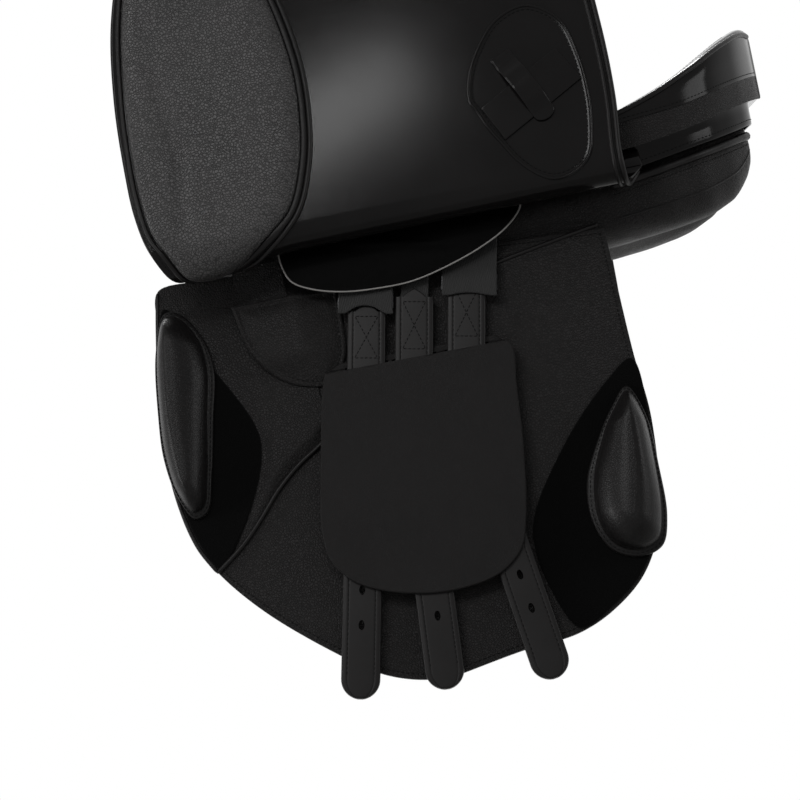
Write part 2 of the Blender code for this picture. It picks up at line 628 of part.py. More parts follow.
def make_panel(side, name, material):
    """One flocked cushion, from its inner foot at the gullet to its outer welt."""
    sections = []
    for x in PANEL_STATIONS:
        out = along(PANEL_OUTER, x)
        welt = along(PANEL_WELT, x)
        foot = along(PANEL_FOOT, x)
        inner_foot = along(PANEL_INNER_FOOT, x)
        drop = panel_drop(x)
        if welt - 0.008 < sweat_top(x):
            out = min(out, sweat_inside(welt))
        shoulder_y = min(out - 0.012, 0.106)
        limit = welt + REAR_PANEL_RISE if x > 0.130 else 1.0
        under = [(y, min(tree_foot(x, y) - drop, limit)) for y in (GULLET_HALF, 0.5 * (GULLET_HALF + shoulder_y))]
        shoulder_z = min(tree_foot(x, shoulder_y) - drop, along(PANEL_TOP_LIMIT, x), welt + 0.5 * (out - shoulder_y))
        low_side = foot + 0.35 * (welt - foot)
        tuck_z = foot + 0.65 * (welt - foot)
        foot_out = out
        side_out = out + PANEL_SIDE_BULGE
        tuck_out = out + 0.7 * PANEL_SIDE_BULGE
        if x < SWEAT_END_X:
            low_side = min(low_side, sweat_top(x) - 0.002)
            tuck_z = min(welt - 0.009, sweat_top(x) + 0.003)
            side_out = min(out + 0.012, sweat_inside(low_side))
            foot_out = min(out + 0.014, sweat_inside(foot + 0.010))
            tuck_out = min(out, sweat_inside(tuck_z) + 0.0002)
        roundness = min((out - GULLET_HALF) / PANEL_FULL_WIDTH, 1.0)
        middle_y = 0.5 * (GULLET_HALF + out)
        middle_z = 0.5 * (inner_foot + foot) - 0.006
        loop = [
            *under,
            (shoulder_y, shoulder_z),
            (0.5 * (shoulder_y + out), 0.5 * (shoulder_z + welt) - 0.0005),
            (out - 0.002, welt),
            (out, welt - 0.004),
            (tuck_out, tuck_z),
            (side_out, low_side),
            (foot_out - 0.003 * roundness, foot + min(0.010, 0.25 * (welt - foot))),
            (foot_out - 0.011 * roundness, foot + 0.002),
            (foot_out - 0.024 * roundness, foot + 0.001),
            (middle_y, middle_z),
            (GULLET_HALF + 0.014 * roundness, inner_foot - 0.002),
            (GULLET_HALF + 0.003 * roundness, inner_foot + 0.006),
            (GULLET_HALF, 0.5 * (inner_foot + under[0][1]) + 0.004),
        ]
        sections.append([Vector((x, side * y, z)) for y, z in loop])
    return loft(name, sections, material)


def make_head_plate(material):
    """The steel arch: over the withers, down under the flap's far layer, and along the flare to the points."""
    lay = on_flare(1)
    height = STEEL_BASE + HEAD_STEEL / 2
    points = head_arch()
    points += [(lay(0, z, height).y, lay(0, z, height).z) for z in (POINT_TOP_Z, POINT_END_Z)]
    full = [(-y, z) for y, z in reversed(points[1:])] + points
    fall = Fall(full)
    total = fall.at[-1]
    half = 0.5 * (HEAD_REAR - HEAD_FRONT)
    middle = 0.5 * (HEAD_REAR + HEAD_FRONT)
    right = arc((middle, total - half), half, 0, 180, 8)
    left = arc((middle, half), half, 180, 360, 8)
    outline = right + left
    return sheet("head_plate", outline, fall.place(1), -HEAD_STEEL / 2, HEAD_STEEL / 2, material,
                 bends=fall.bends())


def make_cantle_facing(material):
    """A leather band that closes the rear between the panels' ends and the seat's band."""
    corner = PANEL_STATIONS[-1]
    half_plan = [(along(PANEL_OUTER, x), x) for x in PANEL_STATIONS if x > FACING_FRONT]
    half_plan.append((0.5 * half_plan[-1][0], corner))
    line = Fall(half_plan + [(-y, x) for y, x in reversed(half_plan)])
    sections = []
    for at in line.at:
        (inner_y, inner_x), (outer_y, outer_x) = (line.point(at, -FACING_GAP - t) for t in (0.0, FACING_LEATHER))
        foot = along(PANEL_WELT, min(inner_x, corner)) + 0.004
        top = along(SEAT_BAND_FOOT, inner_x) + FACING_TUCK
        sections.append([Vector((inner_x, inner_y, foot)), Vector((outer_x, outer_y, foot)),
                         Vector((outer_x, outer_y, top)), Vector((inner_x, inner_y, top))])
    return loft("cantle_facing", sections, material)


def make_nail(side, name, material):
    """A domed seat nail beside the pommel."""
    bm = bmesh.new()
    profile = [(0.0, 0.0032), (0.55, 0.0029), (0.88, 0.0016), (1.0, 0.0)]
    rings = []
    for share, height in profile[1:]:
        rings.append([(NAIL_RADIUS * share * math.cos(a), NAIL_RADIUS * share * math.sin(a), height)
                      for a in (2 * math.pi * k / 16 for k in range(16))])
    top = bm.verts.new((0, 0, profile[0][1]))
    loops = [[bm.verts.new(p) for p in ring] for ring in rings]
    for i in range(16):
        j = (i + 1) % 16
        bm.faces.new((top, loops[0][i], loops[0][j]))
        for a, b in zip(loops, loops[1:]):
            bm.faces.new((a[i], b[i], b[j], a[j]))
    bm.faces.new(list(reversed(loops[-1])))
    y = NAIL_Y * side
    rise = (seat_top(NAIL_X, NAIL_Y + 0.005) - seat_top(NAIL_X, NAIL_Y - 0.005)) / 0.010
    tilt = Matrix.Rotation(math.atan(rise) * side, 4, "X")
    seat = Matrix.Translation((NAIL_X, y, seat_top(NAIL_X, NAIL_Y) + 0.0012))
    bmesh.ops.transform(bm, matrix=seat @ tilt, verts=bm.verts)
    return finish_mesh(name, bm, material)


# Flap, skirt and safe


def make_flap_top(side, name, material):
    fall = Fall(flap_top_line())
    end = fall.at[-1] - CLEAR
    corner = 0.012
    deep = bar_out() + 0.002 - FLAP_TOP_INNER
    window = [(BAR_FRONT - BAR_WINDOW, 0.0), (BAR_FRONT - BAR_WINDOW, deep), (BAR_REAR + BAR_WINDOW, deep),
              (BAR_REAR + BAR_WINDOW, 0.0)]
    outline = [(FLAP_TOP_FRONT + corner, 0.0), *window, (FLAP_TOP_REAR - corner, 0.0), (FLAP_TOP_REAR, corner),
               (FLAP_TOP_REAR, end), (FLAP_TOP_FRONT, end), (FLAP_TOP_FRONT, corner)]
    return sheet(name, outline, fall.place(side), -FLAP_LEATHER / 2, FLAP_LEATHER / 2, material, bends=fall.bends())


def flap_outline():
    return curve(FLAP_OUTLINE_FRONT, 3)[:-1] + curve(FLAP_OUTLINE_REAR, 3)


def make_fold(side, name, direction_deg, material, carrier):
    """The soft fold between the far layer and the flap: an arc when the flap is up, a short strip when it hangs."""
    first = FLAP_DOWN_DEG - 90
    last = direction_deg - 90
    if last - first < 1:
        return None
    line = arc(FOLD_CENTRE, FOLD_RADIUS, first, last, 12)
    fall = Fall(line)
    outline = [(FLAP_TOP_FRONT, CLEAR), (FLAP_TOP_REAR, CLEAR), (FLAP_TOP_REAR, fall.at[-1] - CLEAR),
               (FLAP_TOP_FRONT, fall.at[-1] - CLEAR)]
    return sheet(name, outline, fall.place(side), -FLAP_LEATHER / 2, FLAP_LEATHER / 2, material, carrier,
                 bends=fall.bends())


def make_flap(side, name, direction_deg, material, carrier):
    """The flap itself. Its underside is the right of its fall line."""
    fall = Fall(flap_line(direction_deg, 0.4))
    return sheet(name, flap_outline(), fall.place(side), -FLAP_LEATHER / 2, FLAP_LEATHER / 2, material, carrier)


def make_flap_pad(side, name, direction_deg, material, carrier):
    """The padded lining on the flap's underside, hollowed where the knee block lies."""
    fall = Fall(flap_line(direction_deg, 0.4))
    base = -FLAP_LEATHER / 2 - CLEAR
    outline = curve(PAD_OUTLINE, 3, closed=True)
    crest = [(-0.122, 0.050), (-0.116, 0.120), (-0.118, 0.185), (-0.124, 0.215)]
    top = base - PAD_THICKNESS
    profile = [(0.0, base - 0.0025), (0.10, base - 0.0045), (0.28, top), (0.55, top), (0.86, top + PAD_HOLLOW)]
    return mound(name, outline, crest, base, profile, fall.place(side), material, carrier)


def make_keeper(side, name, direction_deg, material, carrier):
    """A strap over the flap's underside that a stirrup leather's end slips through."""
    fall = Fall(flap_line(direction_deg, 0.4))
    lay = fall.place(side)
    base = FLAP_LEATHER / 2 + CLEAR
    turn = math.radians(KEEPER_TURN_DEG)
    half = KEEPER_LENGTH / 2
    lift = KEEPER_ROOM + KEEPER_LEATHER
    line = Fall([(-half, 0.0), (-half + 0.011, 0.0), (-half + 0.016, lift - KEEPER_LEATHER),
                 (half - 0.016, lift - KEEPER_LEATHER), (half - 0.011, 0.0), (half, 0.0)])

    def lay_keeper(across, v, height):
        length, rise = line.point(v, height)
        x = KEEPER_CENTRE[0] + length * math.cos(turn) - across * math.sin(turn)
        t = KEEPER_CENTRE[1] + length * math.sin(turn) + across * math.cos(turn)
        return lay(x, t, -(base + rise))

    w = KEEPER_WIDTH / 2
    outline = [(-w, 0.0), (w, 0.0), (w, line.at[-1]), (-w, line.at[-1])]
    return sheet(name, outline, lay_keeper, 0.0, KEEPER_LEATHER, material, carrier, bends=line.bends())


def make_skirt(side, name, material, carrier):
    """The skirt: from the seat's welt down over the bar, with a rounded lower edge."""
    points = curve([p for p in SKIRT_LINE if p[0] > 0.041], 2)
    fall = Fall(points)

    def at_out(out):
        k = next((i for i in range(len(points) - 1) if points[i + 1][0] >= out), len(points) - 2)
        share = (out - points[k][0]) / (points[k + 1][0] - points[k][0])
        return fall.at[k] + share * (fall.at[k + 1] - fall.at[k])

    welt_stations = (WELT_FRONT_X + 0.004, -0.090, -0.040, 0.010, WELT_REAR_X)
    welt = [(x, at_out(along(SEAT_HALF_WIDTH, x) + SKIRT_WELT_GAP)) for x in welt_stations]
    end = fall.at[-1]
    lower = curve([(WELT_REAR_X, at_out(0.141)), (0.074, end - 0.018), (0.066, end - 0.004), (0.040, end), (-0.030, end),
                   (-0.090, end), (-0.132, end - 0.010), (-0.150, end - 0.035), (-0.146, end - 0.070),
                   (WELT_FRONT_X + 0.004, at_out(0.0645))], 3)
    outline = welt + lower[1:-1]
    return sheet(name, outline, fall.place(side), -SKIRT_LEATHER, 0.0, material, carrier, bends=fall.bends())


def make_safe(side, name, material):
    """The half-round cover over the webs."""
    fall = Fall(curve(SAFE_LINE, 2))
    shoulder = next(a for a, p in zip(fall.at, fall.points) if p[1] <= SAFE_SHOULDER_Z + 0.006)
    depth = fall.at[-1] - shoulder
    lower = [(SAFE_CENTRE_X + SAFE_HALF_LENGTH * math.cos(a), shoulder + depth * math.sin(a))
             for a in (math.pi * i / 18 for i in range(19))]
    outline = [(SAFE_CENTRE_X - SAFE_HALF_LENGTH, 0.0), (SAFE_CENTRE_X + SAFE_HALF_LENGTH, 0.0), *lower]
    return sheet(name, outline, fall.place(side), -SAFE_LEATHER / 2, SAFE_LEATHER / 2, material,
                 bends=fall.bends())


# Sweat flap and what lies on it


def make_sweat_flap(side, name, material):
    outline = curve(SWEAT_FRONT, 3)[:-1] + curve(SWEAT_REAR, 3)
    return sheet(name, outline, on_flare(side), -SWEAT_LEATHER, 0.0, material)


def make_loop_area(side, name, points, material):
    return sheet(name, curve(points, 3, closed=True), on_flare(side), CLEAR, CLEAR + LOOP_PILE, material)


def make_block(side, name, points, crest, height, material, carrier):
    """A block with a stitched flange that rises steeply to its crest."""
    outline = curve(points, 3, closed=True)
    base = BLOCK_BASE
    profile = [(0.0, base + BLOCK_FLANGE), (0.13, base + BLOCK_FLANGE), (0.20, base + 0.38 * height),
               (0.36, base + 0.74 * height), (0.58, base + 0.93 * height), (0.86, base + height)]
    return mound(name, outline, crest, base, profile, on_flare(side), material, carrier)


def make_pocket(side, name, material):
    """The point pocket: a cap over the head plate's point, stitched round its edge and open at its top."""
    outline = curve(POCKET_OUTLINE, 3)
    mouth = POCKET_OUTLINE[0][1]
    centre_x = 0.5 * (HEAD_FRONT + HEAD_REAR)
    reach = 0.5 * (HEAD_REAR - HEAD_FRONT) + 0.0015
    head = STEEL_BASE + HEAD_STEEL + CLEAR

    def room(u, v):
        """The height that the cap has to clear at a place: the point's, falling away around it."""
        fall = min(max((abs(u - centre_x) - reach) / 0.010, 0.0), 1.0)
        below = min(max((POINT_END_Z + 0.020 - v) / 0.018, 0.0), 1.0)
        return CLEAR + (head - CLEAR) * (1 - max(fall, below * fall))

    cuts = [((u, 0, 0), (1, 0, 0)) for u in (centre_x - reach - 0.010, centre_x - reach, centre_x + reach,
                                             centre_x + reach + 0.010)]
    outline = [(min(max(u, HEAD_FRONT - 0.012), 1.0), v) for u, v in outline]
    return sheet(name, outline, on_flare(side), lambda u, v: room(u, v), lambda u, v: room(u, v) + POCKET_LEATHER,
                 material, bends=cuts)


# Girth straps, webs, slides and guard


def strap_frame(x, z):
    """Strap coordinates (across, down) of a place given as (x, z)."""
    return x * math.cos(LEAN) - z * math.sin(LEAN), -x * math.sin(LEAN) - z * math.cos(LEAN)


def from_strap_frame(p, q):
    return p * math.cos(LEAN) - q * math.sin(LEAN), -p * math.sin(LEAN) - q * math.cos(LEAN)


def strap_line(k):
    """A strap's middle line from its top to its tip: parallel to the others as far as the bend, then fanning."""
    top = np.array(STRAP_TOPS[k])
    down = np.array((-math.sin(LEAN), -math.cos(LEAN)))
    bend = top + down * (STRAP_BENDS_Z - top[1]) / down[1]
    tip = np.array(STRAP_ENDS[k])
    return top, bend, tip


def make_strap(side, name, k, material, carrier):
    """A girth strap: two plies thick, square at the top, round at the tip, with a row of punched holes."""
    top, bend, tip = strap_line(k)
    half = STRAP_WIDTH / 2
    upper = (bend - top) / np.linalg.norm(bend - top)
    lower = (tip - bend) / np.linalg.norm(tip - bend)
    side_upper = np.array((-upper[1], upper[0]))
    side_lower = np.array((-lower[1], lower[0]))
    mitre = side_upper + side_lower
    mitre = mitre / np.dot(mitre, side_upper)
    right = [top + side_upper * half, bend + mitre * half]
    left = [bend - mitre * half, top - side_upper * half]
    start = math.atan2(side_lower[1], side_lower[0])
    round_end = [tip + half * np.array((math.cos(start - math.pi * i / 10), math.sin(start - math.pi * i / 10)))
                 for i in range(11)]
    outline = [tuple(p) for p in right + round_end + left]
    holes = []
    for i in range(HOLE_COUNT):
        centre = tip - lower * (FIRST_HOLE_FROM_TIP - half + HOLE_PITCH * i)
        ring = []
        for a in (2 * math.pi * j / 10 for j in range(10)):
            point = centre + lower * HOLE_LENGTH / 2 * math.cos(a) + side_lower * HOLE_WIDTH / 2 * math.sin(a)
            ring.append(tuple(point))
        holes.append(ring)
    return sheet(name, outline, on_flare(side), STRAP_BACK, STRAP_BACK + STRAP_LEATHER, material, carrier,
                 holes=holes)


def slide_outline(k):
    """A slide's frame in strap coordinates: its outer and inner corners, just above its strap's top."""
    p, q = strap_frame(*STRAP_TOPS[k])
    p += WEB_SHIFTS[k]
    outer = 0.5 * WEB_WIDTH + SLIDE_WIRE + CLEAR
    low = q - CLEAR
    high = low - 2 * SLIDE_WIRE - SLIDE_ROOM
    corners = [(p - outer, high), (p + outer, high), (p + outer, low), (p - outer, low)]
    w = SLIDE_WIRE
    room = [(p - outer + w, high + w), (p + outer - w, high + w), (p + outer - w, low - w), (p - outer + w, low - w)]
    return corners, room


def make_slide(side, name, k, material, carrier):
    """A flat steel slide that joins a web to its strap."""
    corners, room = slide_outline(k)
    outline = [from_strap_frame(*c) for c in corners]
    hole = [from_strap_frame(*c) for c in room]
    middle = STRAP_BACK + STRAP_LEATHER / 2
    return sheet(name, outline, on_flare(side), middle - SLIDE_WIRE / 2, middle + SLIDE_WIRE / 2, material, carrier,
                 holes=[hole])


def make_web(side, name, k, material):
    """A nylon web: from under the tree's edge, out over the panel and down to its slide or strap."""
    p, q = strap_frame(*STRAP_TOPS[k])
    p += WEB_SHIFTS[k]
    wide = k != 1
    half = (WEB_WIDTH if wide else MIDDLE_WEB_WIDTH) / 2
    end_q = q - (2 * SLIDE_WIRE + SLIDE_ROOM + 2 * CLEAR if wide else CLEAR)
    end_x, end_z = from_strap_frame(p, end_q)
    height = STRAP_BACK + STRAP_LEATHER / 2
    last = on_flare(1)(0, end_z, height)
    lowest = min(tree_foot(x, y) for x in (end_x - half, end_x + half) for y in (WEB_START, TREE_HALF_WIDTH))
    start_z = min(lowest - CLEAR - WEB_THICKNESS / 2 - WEB_SPARE, WEB_HIGHEST)
    line = Fall([(WEB_START, start_z), (0.110, start_z - 0.0005), *WEB_LINE, (last.y, last.z)])
    total = line.at[-1]
    straight = line.at[-2]
    ends = []
    for edge in (p + half, p - half):
        x, z = from_strap_frame(edge, end_q)
        ends.append((x, total + (end_z - z) / math.cos(FLARE)))
    lean = (total - straight) * math.tan(LEAN)
    outline = [(ends[1][0] + lean, 0.0), (ends[0][0] + lean, 0.0), (ends[0][0] + lean, straight), *ends,
               (ends[1][0] + lean, straight)]
    return sheet(name, outline, line.place(side), -WEB_THICKNESS / 2, WEB_THICKNESS / 2, material, bends=line.bends())


def guard_top(p):
    """Where the guard's top edge lies, down the straps, at a place across them."""
    (p0, q0), (p1, q1) = GUARD_TOP_LEFT, GUARD_TOP_RIGHT
    return q0 + (q1 - q0) * (p - p0) / (p1 - p0)


def make_guard(side, name, material, carrier):
    """The buckle guard: its top strip lies behind the straps and its plate in front, with three slots between."""
    outline = curve([GUARD_TOP_RIGHT, *GUARD_OUTLINE, GUARD_TOP_LEFT], 3)
    holes = []
    for k in range(3):
        p = strap_frame(*STRAP_TOPS[k])[0]
        half = STRAP_WIDTH / 2 + GUARD_SLOT_SPARE
        holes.append([(p - half, guard_top(p - half) + GUARD_STRIP), (p + half, guard_top(p + half) + GUARD_STRIP),
                      (p + half, guard_top(p + half) + GUARD_STRIP + GUARD_SLOT),
                      (p - half, guard_top(p - half) + GUARD_STRIP + GUARD_SLOT)])

    def level(p, q):
        below = (q - guard_top(p) - GUARD_STRIP) / GUARD_SLOT
        share = min(max(below, 0.0), 1.0)
        return GUARD_BACK + (GUARD_FRONT - GUARD_BACK) * share

    slope = (GUARD_TOP_RIGHT[1] - GUARD_TOP_LEFT[1]) / (GUARD_TOP_RIGHT[0] - GUARD_TOP_LEFT[0])
    depths = (GUARD_STRIP, GUARD_STRIP + GUARD_SLOT)
    cuts = [((0.0, guard_top(0.0) + depth, 0.0), (-slope, 1.0, 0.0)) for depth in depths]
    lay = on_flare(side)

    def lay_guard(p, q, height):
        x, z = from_strap_frame(p, q)
        return lay(x, z, height)

    return sheet(name, outline, lay_guard, level, lambda p, q: level(p, q) + GUARD_LEATHER, material, carrier,
                 holes=holes, bends=cuts)


# Steel fittings


def make_bar(side, name, material):
    """The stirrup bar: a plate on the tree's edge, a neck in front, and the bar that is open at its rear."""
    plate_in = TREE_HALF_WIDTH + CLEAR
    plate_out = plate_in + BAR_PLATE
    bar_in = plate_out + BAR_SLOT
    outer = bar_out()
    neck = 0.010
    corner = 0.004
    outline = [(BAR_FRONT, plate_in), (BAR_REAR, plate_in), (BAR_REAR, plate_out), (BAR_FRONT + neck + corner, plate_out),
               (BAR_FRONT + neck, plate_out + corner), (BAR_FRONT + neck, bar_in - corner),
               (BAR_FRONT + neck + corner, bar_in), (BAR_REAR - CATCH_LENGTH, bar_in), (BAR_REAR - CATCH_LENGTH, outer),
               (BAR_FRONT + corner, outer), (BAR_FRONT, outer - corner)]

    def lay(x, y, height):
        return Vector((x, side * y, bar_foot() + height))

    return sheet(name, outline, lay, 0.0, BAR_SECTION_Z, material)


def make_catch(side, name, material, carrier):
    """The catch at the bar's rear end: a tongue with a round heel that turns in towards the plate."""
    middle = bar_out() - BAR_SECTION_Y / 2
    pivot = BAR_REAR - CATCH_LENGTH + CLEAR + BAR_SECTION_Y / 2
    heel = arc((pivot, middle), BAR_SECTION_Y / 2, 90, 270, 8)
    tip = [(BAR_REAR - 0.003, middle - 0.0022), (BAR_REAR, middle - 0.001), (BAR_REAR, middle + 0.001),
           (BAR_REAR - 0.003, middle + 0.0022)]

    def lay(x, y, height):
        return Vector((x, side * y, bar_foot() + height))

    return sheet(name, heel + tip, lay, 0.001, BAR_SECTION_Z - 0.001, material, carrier)


def build():
    remove_everything()
    grain = leather("grained_leather", 0.020, 0.45)
    smooth = leather("smooth_leather", 0.012, 0.32)
    velvet = leather("loop_pile", 0.004, 0.95)
    nylon = leather("nylon_webbing", 0.010, 0.7)
    frame = leather("moulded_tree", 0.05, 0.5)
    metal = steel("stainless_steel", 0.6, 0.3)

    make_seat(smooth)
    make_tree(frame)
    make_head_plate(metal)
    make_cantle_facing(smooth)
    for label, side in SIDES:
        direction = FLAP_UP_DEG if label == "near" else FLAP_DOWN_DEG
        fold = carrier(f"flap_{label}_axis", (0.0, side * FOLD_CENTRE[0], FOLD_CENTRE[1]))
        welt = carrier(f"skirt_{label}_axis", (WELT_FRONT_X, side * along(SEAT_HALF_WIDTH, WELT_FRONT_X),
                                               seat_edge(WELT_FRONT_X)))
        lay = on_flare(side)
        middle = STRAP_BACK + STRAP_LEATHER / 2
        hang = carrier(f"girth_{label}_axis", lay(0.0, STRAP_HINGE_Z, middle))
        knee = carrier(f"knee_{label}_axis", lay(KNEE_CREST[1][0], KNEE_CREST[1][1], BLOCK_BASE))
        thigh = carrier(f"thigh_{label}_axis", lay(THIGH_CREST[1][0], THIGH_CREST[1][1], BLOCK_BASE))
        guard = carrier(f"guard_{label}_axis", lay(*from_strap_frame(0.0, GUARD_TOP_LEFT[1]), GUARD_FRONT))
        catch_y = bar_out() - BAR_SECTION_Y / 2
        catch = carrier(f"catch_{label}_axis", (BAR_REAR - CATCH_LENGTH + CLEAR + BAR_SECTION_Y / 2, side * catch_y,
                                                bar_foot()))

        make_nail(side, f"seat_nail_{label}", metal)
        make_panel(side, f"panel_{label}", grain)
        make_sweat_flap(side, f"sweat_flap_{label}", grain)
        make_pocket(side, f"point_pocket_{label}", grain)
        make_loop_area(side, f"front_loop_area_{label}", FRONT_LOOP, velvet)
        make_loop_area(side, f"rear_loop_area_{label}", REAR_LOOP, velvet)
        make_block(side, f"knee_block_{label}", KNEE_OUTLINE, KNEE_CREST, KNEE_HEIGHT, smooth, knee)
        make_block(side, f"thigh_block_{label}", THIGH_OUTLINE, THIGH_CREST, THIGH_HEIGHT, grain, thigh)
        make_flap_top(side, f"flap_top_{label}", smooth)
        make_fold(side, f"flap_fold_{label}", direction, smooth, fold)
        make_flap(side, f"flap_{label}", direction, smooth, fold)
        make_flap_pad(side, f"flap_pad_{label}", direction, grain, fold)
        make_keeper(side, f"keeper_{label}", direction, smooth, fold)
        make_skirt(side, f"skirt_{label}", smooth, welt)
        make_safe(side, f"safe_{label}", smooth)
        make_bar(side, f"stirrup_bar_{label}", metal)
        make_catch(side, f"bar_catch_{label}", metal, catch)
        for k, place in enumerate(STRAP_NAMES):
            make_web(side, f"{place}_web_{label}", k, nylon)
            make_strap(side, f"{place}_girth_strap_{label}", k, smooth, hang)
        for k in (0, 2):
            make_slide(side, f"{STRAP_NAMES[k]}_slide_{label}", k, metal, hang)
        make_guard(side, f"buckle_guard_{label}", grain, guard)


build()
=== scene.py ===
# %% [markdown]
# # A black jumping saddle, dressed in leather
# The CAD model gives every piece its place and its size. Here each leather, felt and thread part gets the
# surface that a saddler would give it. The near flap is lifted over the seat, so its underside and all
# that it normally hides face the camera.

import math

import bmesh
import bpy
import numpy as np
from mathutils import Matrix, Quaternion, Vector


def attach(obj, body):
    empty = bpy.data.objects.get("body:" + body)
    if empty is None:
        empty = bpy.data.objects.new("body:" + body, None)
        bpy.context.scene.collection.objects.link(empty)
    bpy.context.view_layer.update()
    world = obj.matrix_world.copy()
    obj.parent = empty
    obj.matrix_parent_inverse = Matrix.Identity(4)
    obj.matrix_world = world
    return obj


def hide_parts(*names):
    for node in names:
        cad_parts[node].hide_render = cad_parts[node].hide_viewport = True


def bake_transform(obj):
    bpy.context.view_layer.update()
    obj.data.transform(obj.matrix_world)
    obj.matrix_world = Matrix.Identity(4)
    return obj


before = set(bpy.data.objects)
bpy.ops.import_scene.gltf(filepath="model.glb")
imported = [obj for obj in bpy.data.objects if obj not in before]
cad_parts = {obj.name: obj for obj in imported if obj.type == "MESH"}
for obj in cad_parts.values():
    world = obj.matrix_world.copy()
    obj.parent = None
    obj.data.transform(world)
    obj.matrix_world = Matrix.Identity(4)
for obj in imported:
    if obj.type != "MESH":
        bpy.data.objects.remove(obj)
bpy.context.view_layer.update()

# %% [markdown]
# ## Sizes shared with the CAD
# The leathers' thicknesses and the layers' heights above the sweat flap decide where each surface lies,
# so they are written once here. All lengths are in metres.

# %% Sizes
MM = 0.001
CLEAR = 0.3 * MM
FLARE = math.radians(15.3)
FLARE_OUT = 157.7 * MM
LEAN = math.radians(11.9)
FLAP_LEATHER = 3.5 * MM
SWEAT_LEATHER = 3.5 * MM
GUARD_LEATHER = 2.6 * MM
STRAP_LEATHER = 3.6 * MM
POCKET_LEATHER = 2.0 * MM
LOOP_PILE = 1.3 * MM
GUARD_BACK = CLEAR + POCKET_LEATHER + CLEAR
STRAP_BACK = GUARD_BACK + GUARD_LEATHER + CLEAR
STRAP_FACE = STRAP_BACK + STRAP_LEATHER
GUARD_FRONT = STRAP_FACE + CLEAR
BLOCK_BASE = CLEAR + LOOP_PILE + CLEAR
FOLD_CENTRE = (180.0 * MM, 65.0 * MM)
FOLD_RADIUS = 13.0 * MM
FLAP_DOWN_DEG = -70.0
FLAP_UP_DEG = 102.0
SIDES = (("near", -1.0), ("off", 1.0))

# %% [markdown]
# ## Curves and tables
# An outline is drawn through a few points, then read at many even steps. A centripetal spline passes
# through each point without the loops that an even one makes where points crowd together.


# %% Curves through points
def spline(points, closed=False, steps=24):
    """A centripetal Catmull-Rom curve: each span blends lines through its four nearest points."""
    p = np.asarray(points, float)
    if closed:
        p = np.vstack((p[-1], p, p[0], p[1]))
    else:
        p = np.vstack((2 * p[0] - p[1], p, 2 * p[-1] - p[-2]))
    p0, p1, p2, p3 = p[:-3], p[1:-2], p[2:-1], p[3:]
    gap = [np.maximum(np.linalg.norm(b - a, axis=1), 1e-9) ** 0.5
           for a, b in ((p0, p1), (p1, p2), (p2, p3))]
    t1, t2, t3 = gap[0], gap[0] + gap[1], gap[0] + gap[1] + gap[2]
    s = np.arange(steps) / steps
    t = (t1[:, None] + (t2 - t1)[:, None] * s)[..., None]
    t1, t2, t3 = (v[:, None, None] for v in (t1, t2, t3))
    p0, p1, p2, p3 = (v[:, None, :] for v in (p0, p1, p2, p3))
    a1 = p0 * (t1 - t) / t1 + p1 * t / t1
    a2 = p1 * (t2 - t) / (t2 - t1) + p2 * (t - t1) / (t2 - t1)
    a3 = p2 * (t3 - t) / (t3 - t2) + p3 * (t - t2) / (t3 - t2)
    b1 = a1 * (t2 - t) / t2 + a2 * t / t2
    b2 = a2 * (t3 - t) / (t3 - t1) + a3 * (t - t1) / (t3 - t1)
    out = (b1 * (t2 - t) / (t2 - t1) + b2 * (t - t1) / (t2 - t1)).reshape(-1, p.shape[1])
    return out if closed else np.vstack((out, np.asarray(points, float)[-1:]))


def unit(rows):
    """Each row divided by its own length."""
    return rows / np.maximum(np.linalg.norm(rows, axis=-1, keepdims=True), 1e-12)


def run_of(line):
    """The length along a line at each of its points: the sum of the steps before it."""
    return np.concatenate(([0.0], np.cumsum(np.linalg.norm(np.diff(line, axis=0), axis=1))))


def read_at(at, run, points):
    """Each coordinate of a line read at the given lengths along it, straight between its points."""
    return np.stack([np.interp(at, run, column) for column in points.T], axis=1)


def even(points, pitch, closed=False):
    """The same line read at even steps of about the given pitch."""
    p = np.vstack((points, points[:1])) if closed else np.asarray(points, float)
    run = run_of(p)
    count = max(int(round(run[-1] / pitch)), 4)
    out = read_at(np.linspace(0.0, run[-1], count + 1), run, p)
    return out[:-1] if closed else out


def curve(points, pitch, closed=False):
    """A spline through the points, read at even steps."""
    return even(spline(points, closed), pitch, closed)


def table(rows, x):
    """A line through a table's stations, read at x: cubic pieces whose harmonic slopes never overshoot."""
    rows = np.asarray(rows, float)
    xs, ys = rows[:, 0], rows[:, 1]
    x = np.clip(np.asarray(x, float), xs[0], xs[-1])
    step = np.diff(ys) / np.diff(xs)
    product = step[:-1] * step[1:]
    total = step[:-1] + step[1:]
    inner = np.where(product > 0, 2 * product / np.where(total == 0, 1, total), 0.0)
    slope = np.concatenate((step[:1], inner, step[-1:]))
    k = np.clip(np.searchsorted(xs, x, side="right") - 1, 0, len(xs) - 2)
    h = xs[k + 1] - xs[k]
    t = (x - xs[k]) / h
    return (ys[k] * (1 + 2 * t) * (1 - t) ** 2 + h * slope[k] * t * (1 - t) ** 2
            + ys[k + 1] * t * t * (3 - 2 * t) + h * slope[k + 1] * t * t * (t - 1))


def ease(t):
    """A smooth step from 0 to 1: three t squared less two t cubed."""
    t = np.clip(t, 0.0, 1.0)
    return t * t * (3 - 2 * t)


def nearest_on(points, line):
    """Each point's nearest place on a line of straight pieces, and how far away that is."""
    d = line[1:] - line[:-1]
    q = points[:, None] - line[None, :-1]
    t = np.clip((q * d).sum(-1) / np.maximum((d * d).sum(-1), 1e-18), 0, 1)
    foot = line[None, :-1] + t[..., None] * d
    gap = np.linalg.norm(points[:, None] - foot, axis=-1)
    return foot[np.arange(len(points)), gap.argmin(1)], gap.min(1)


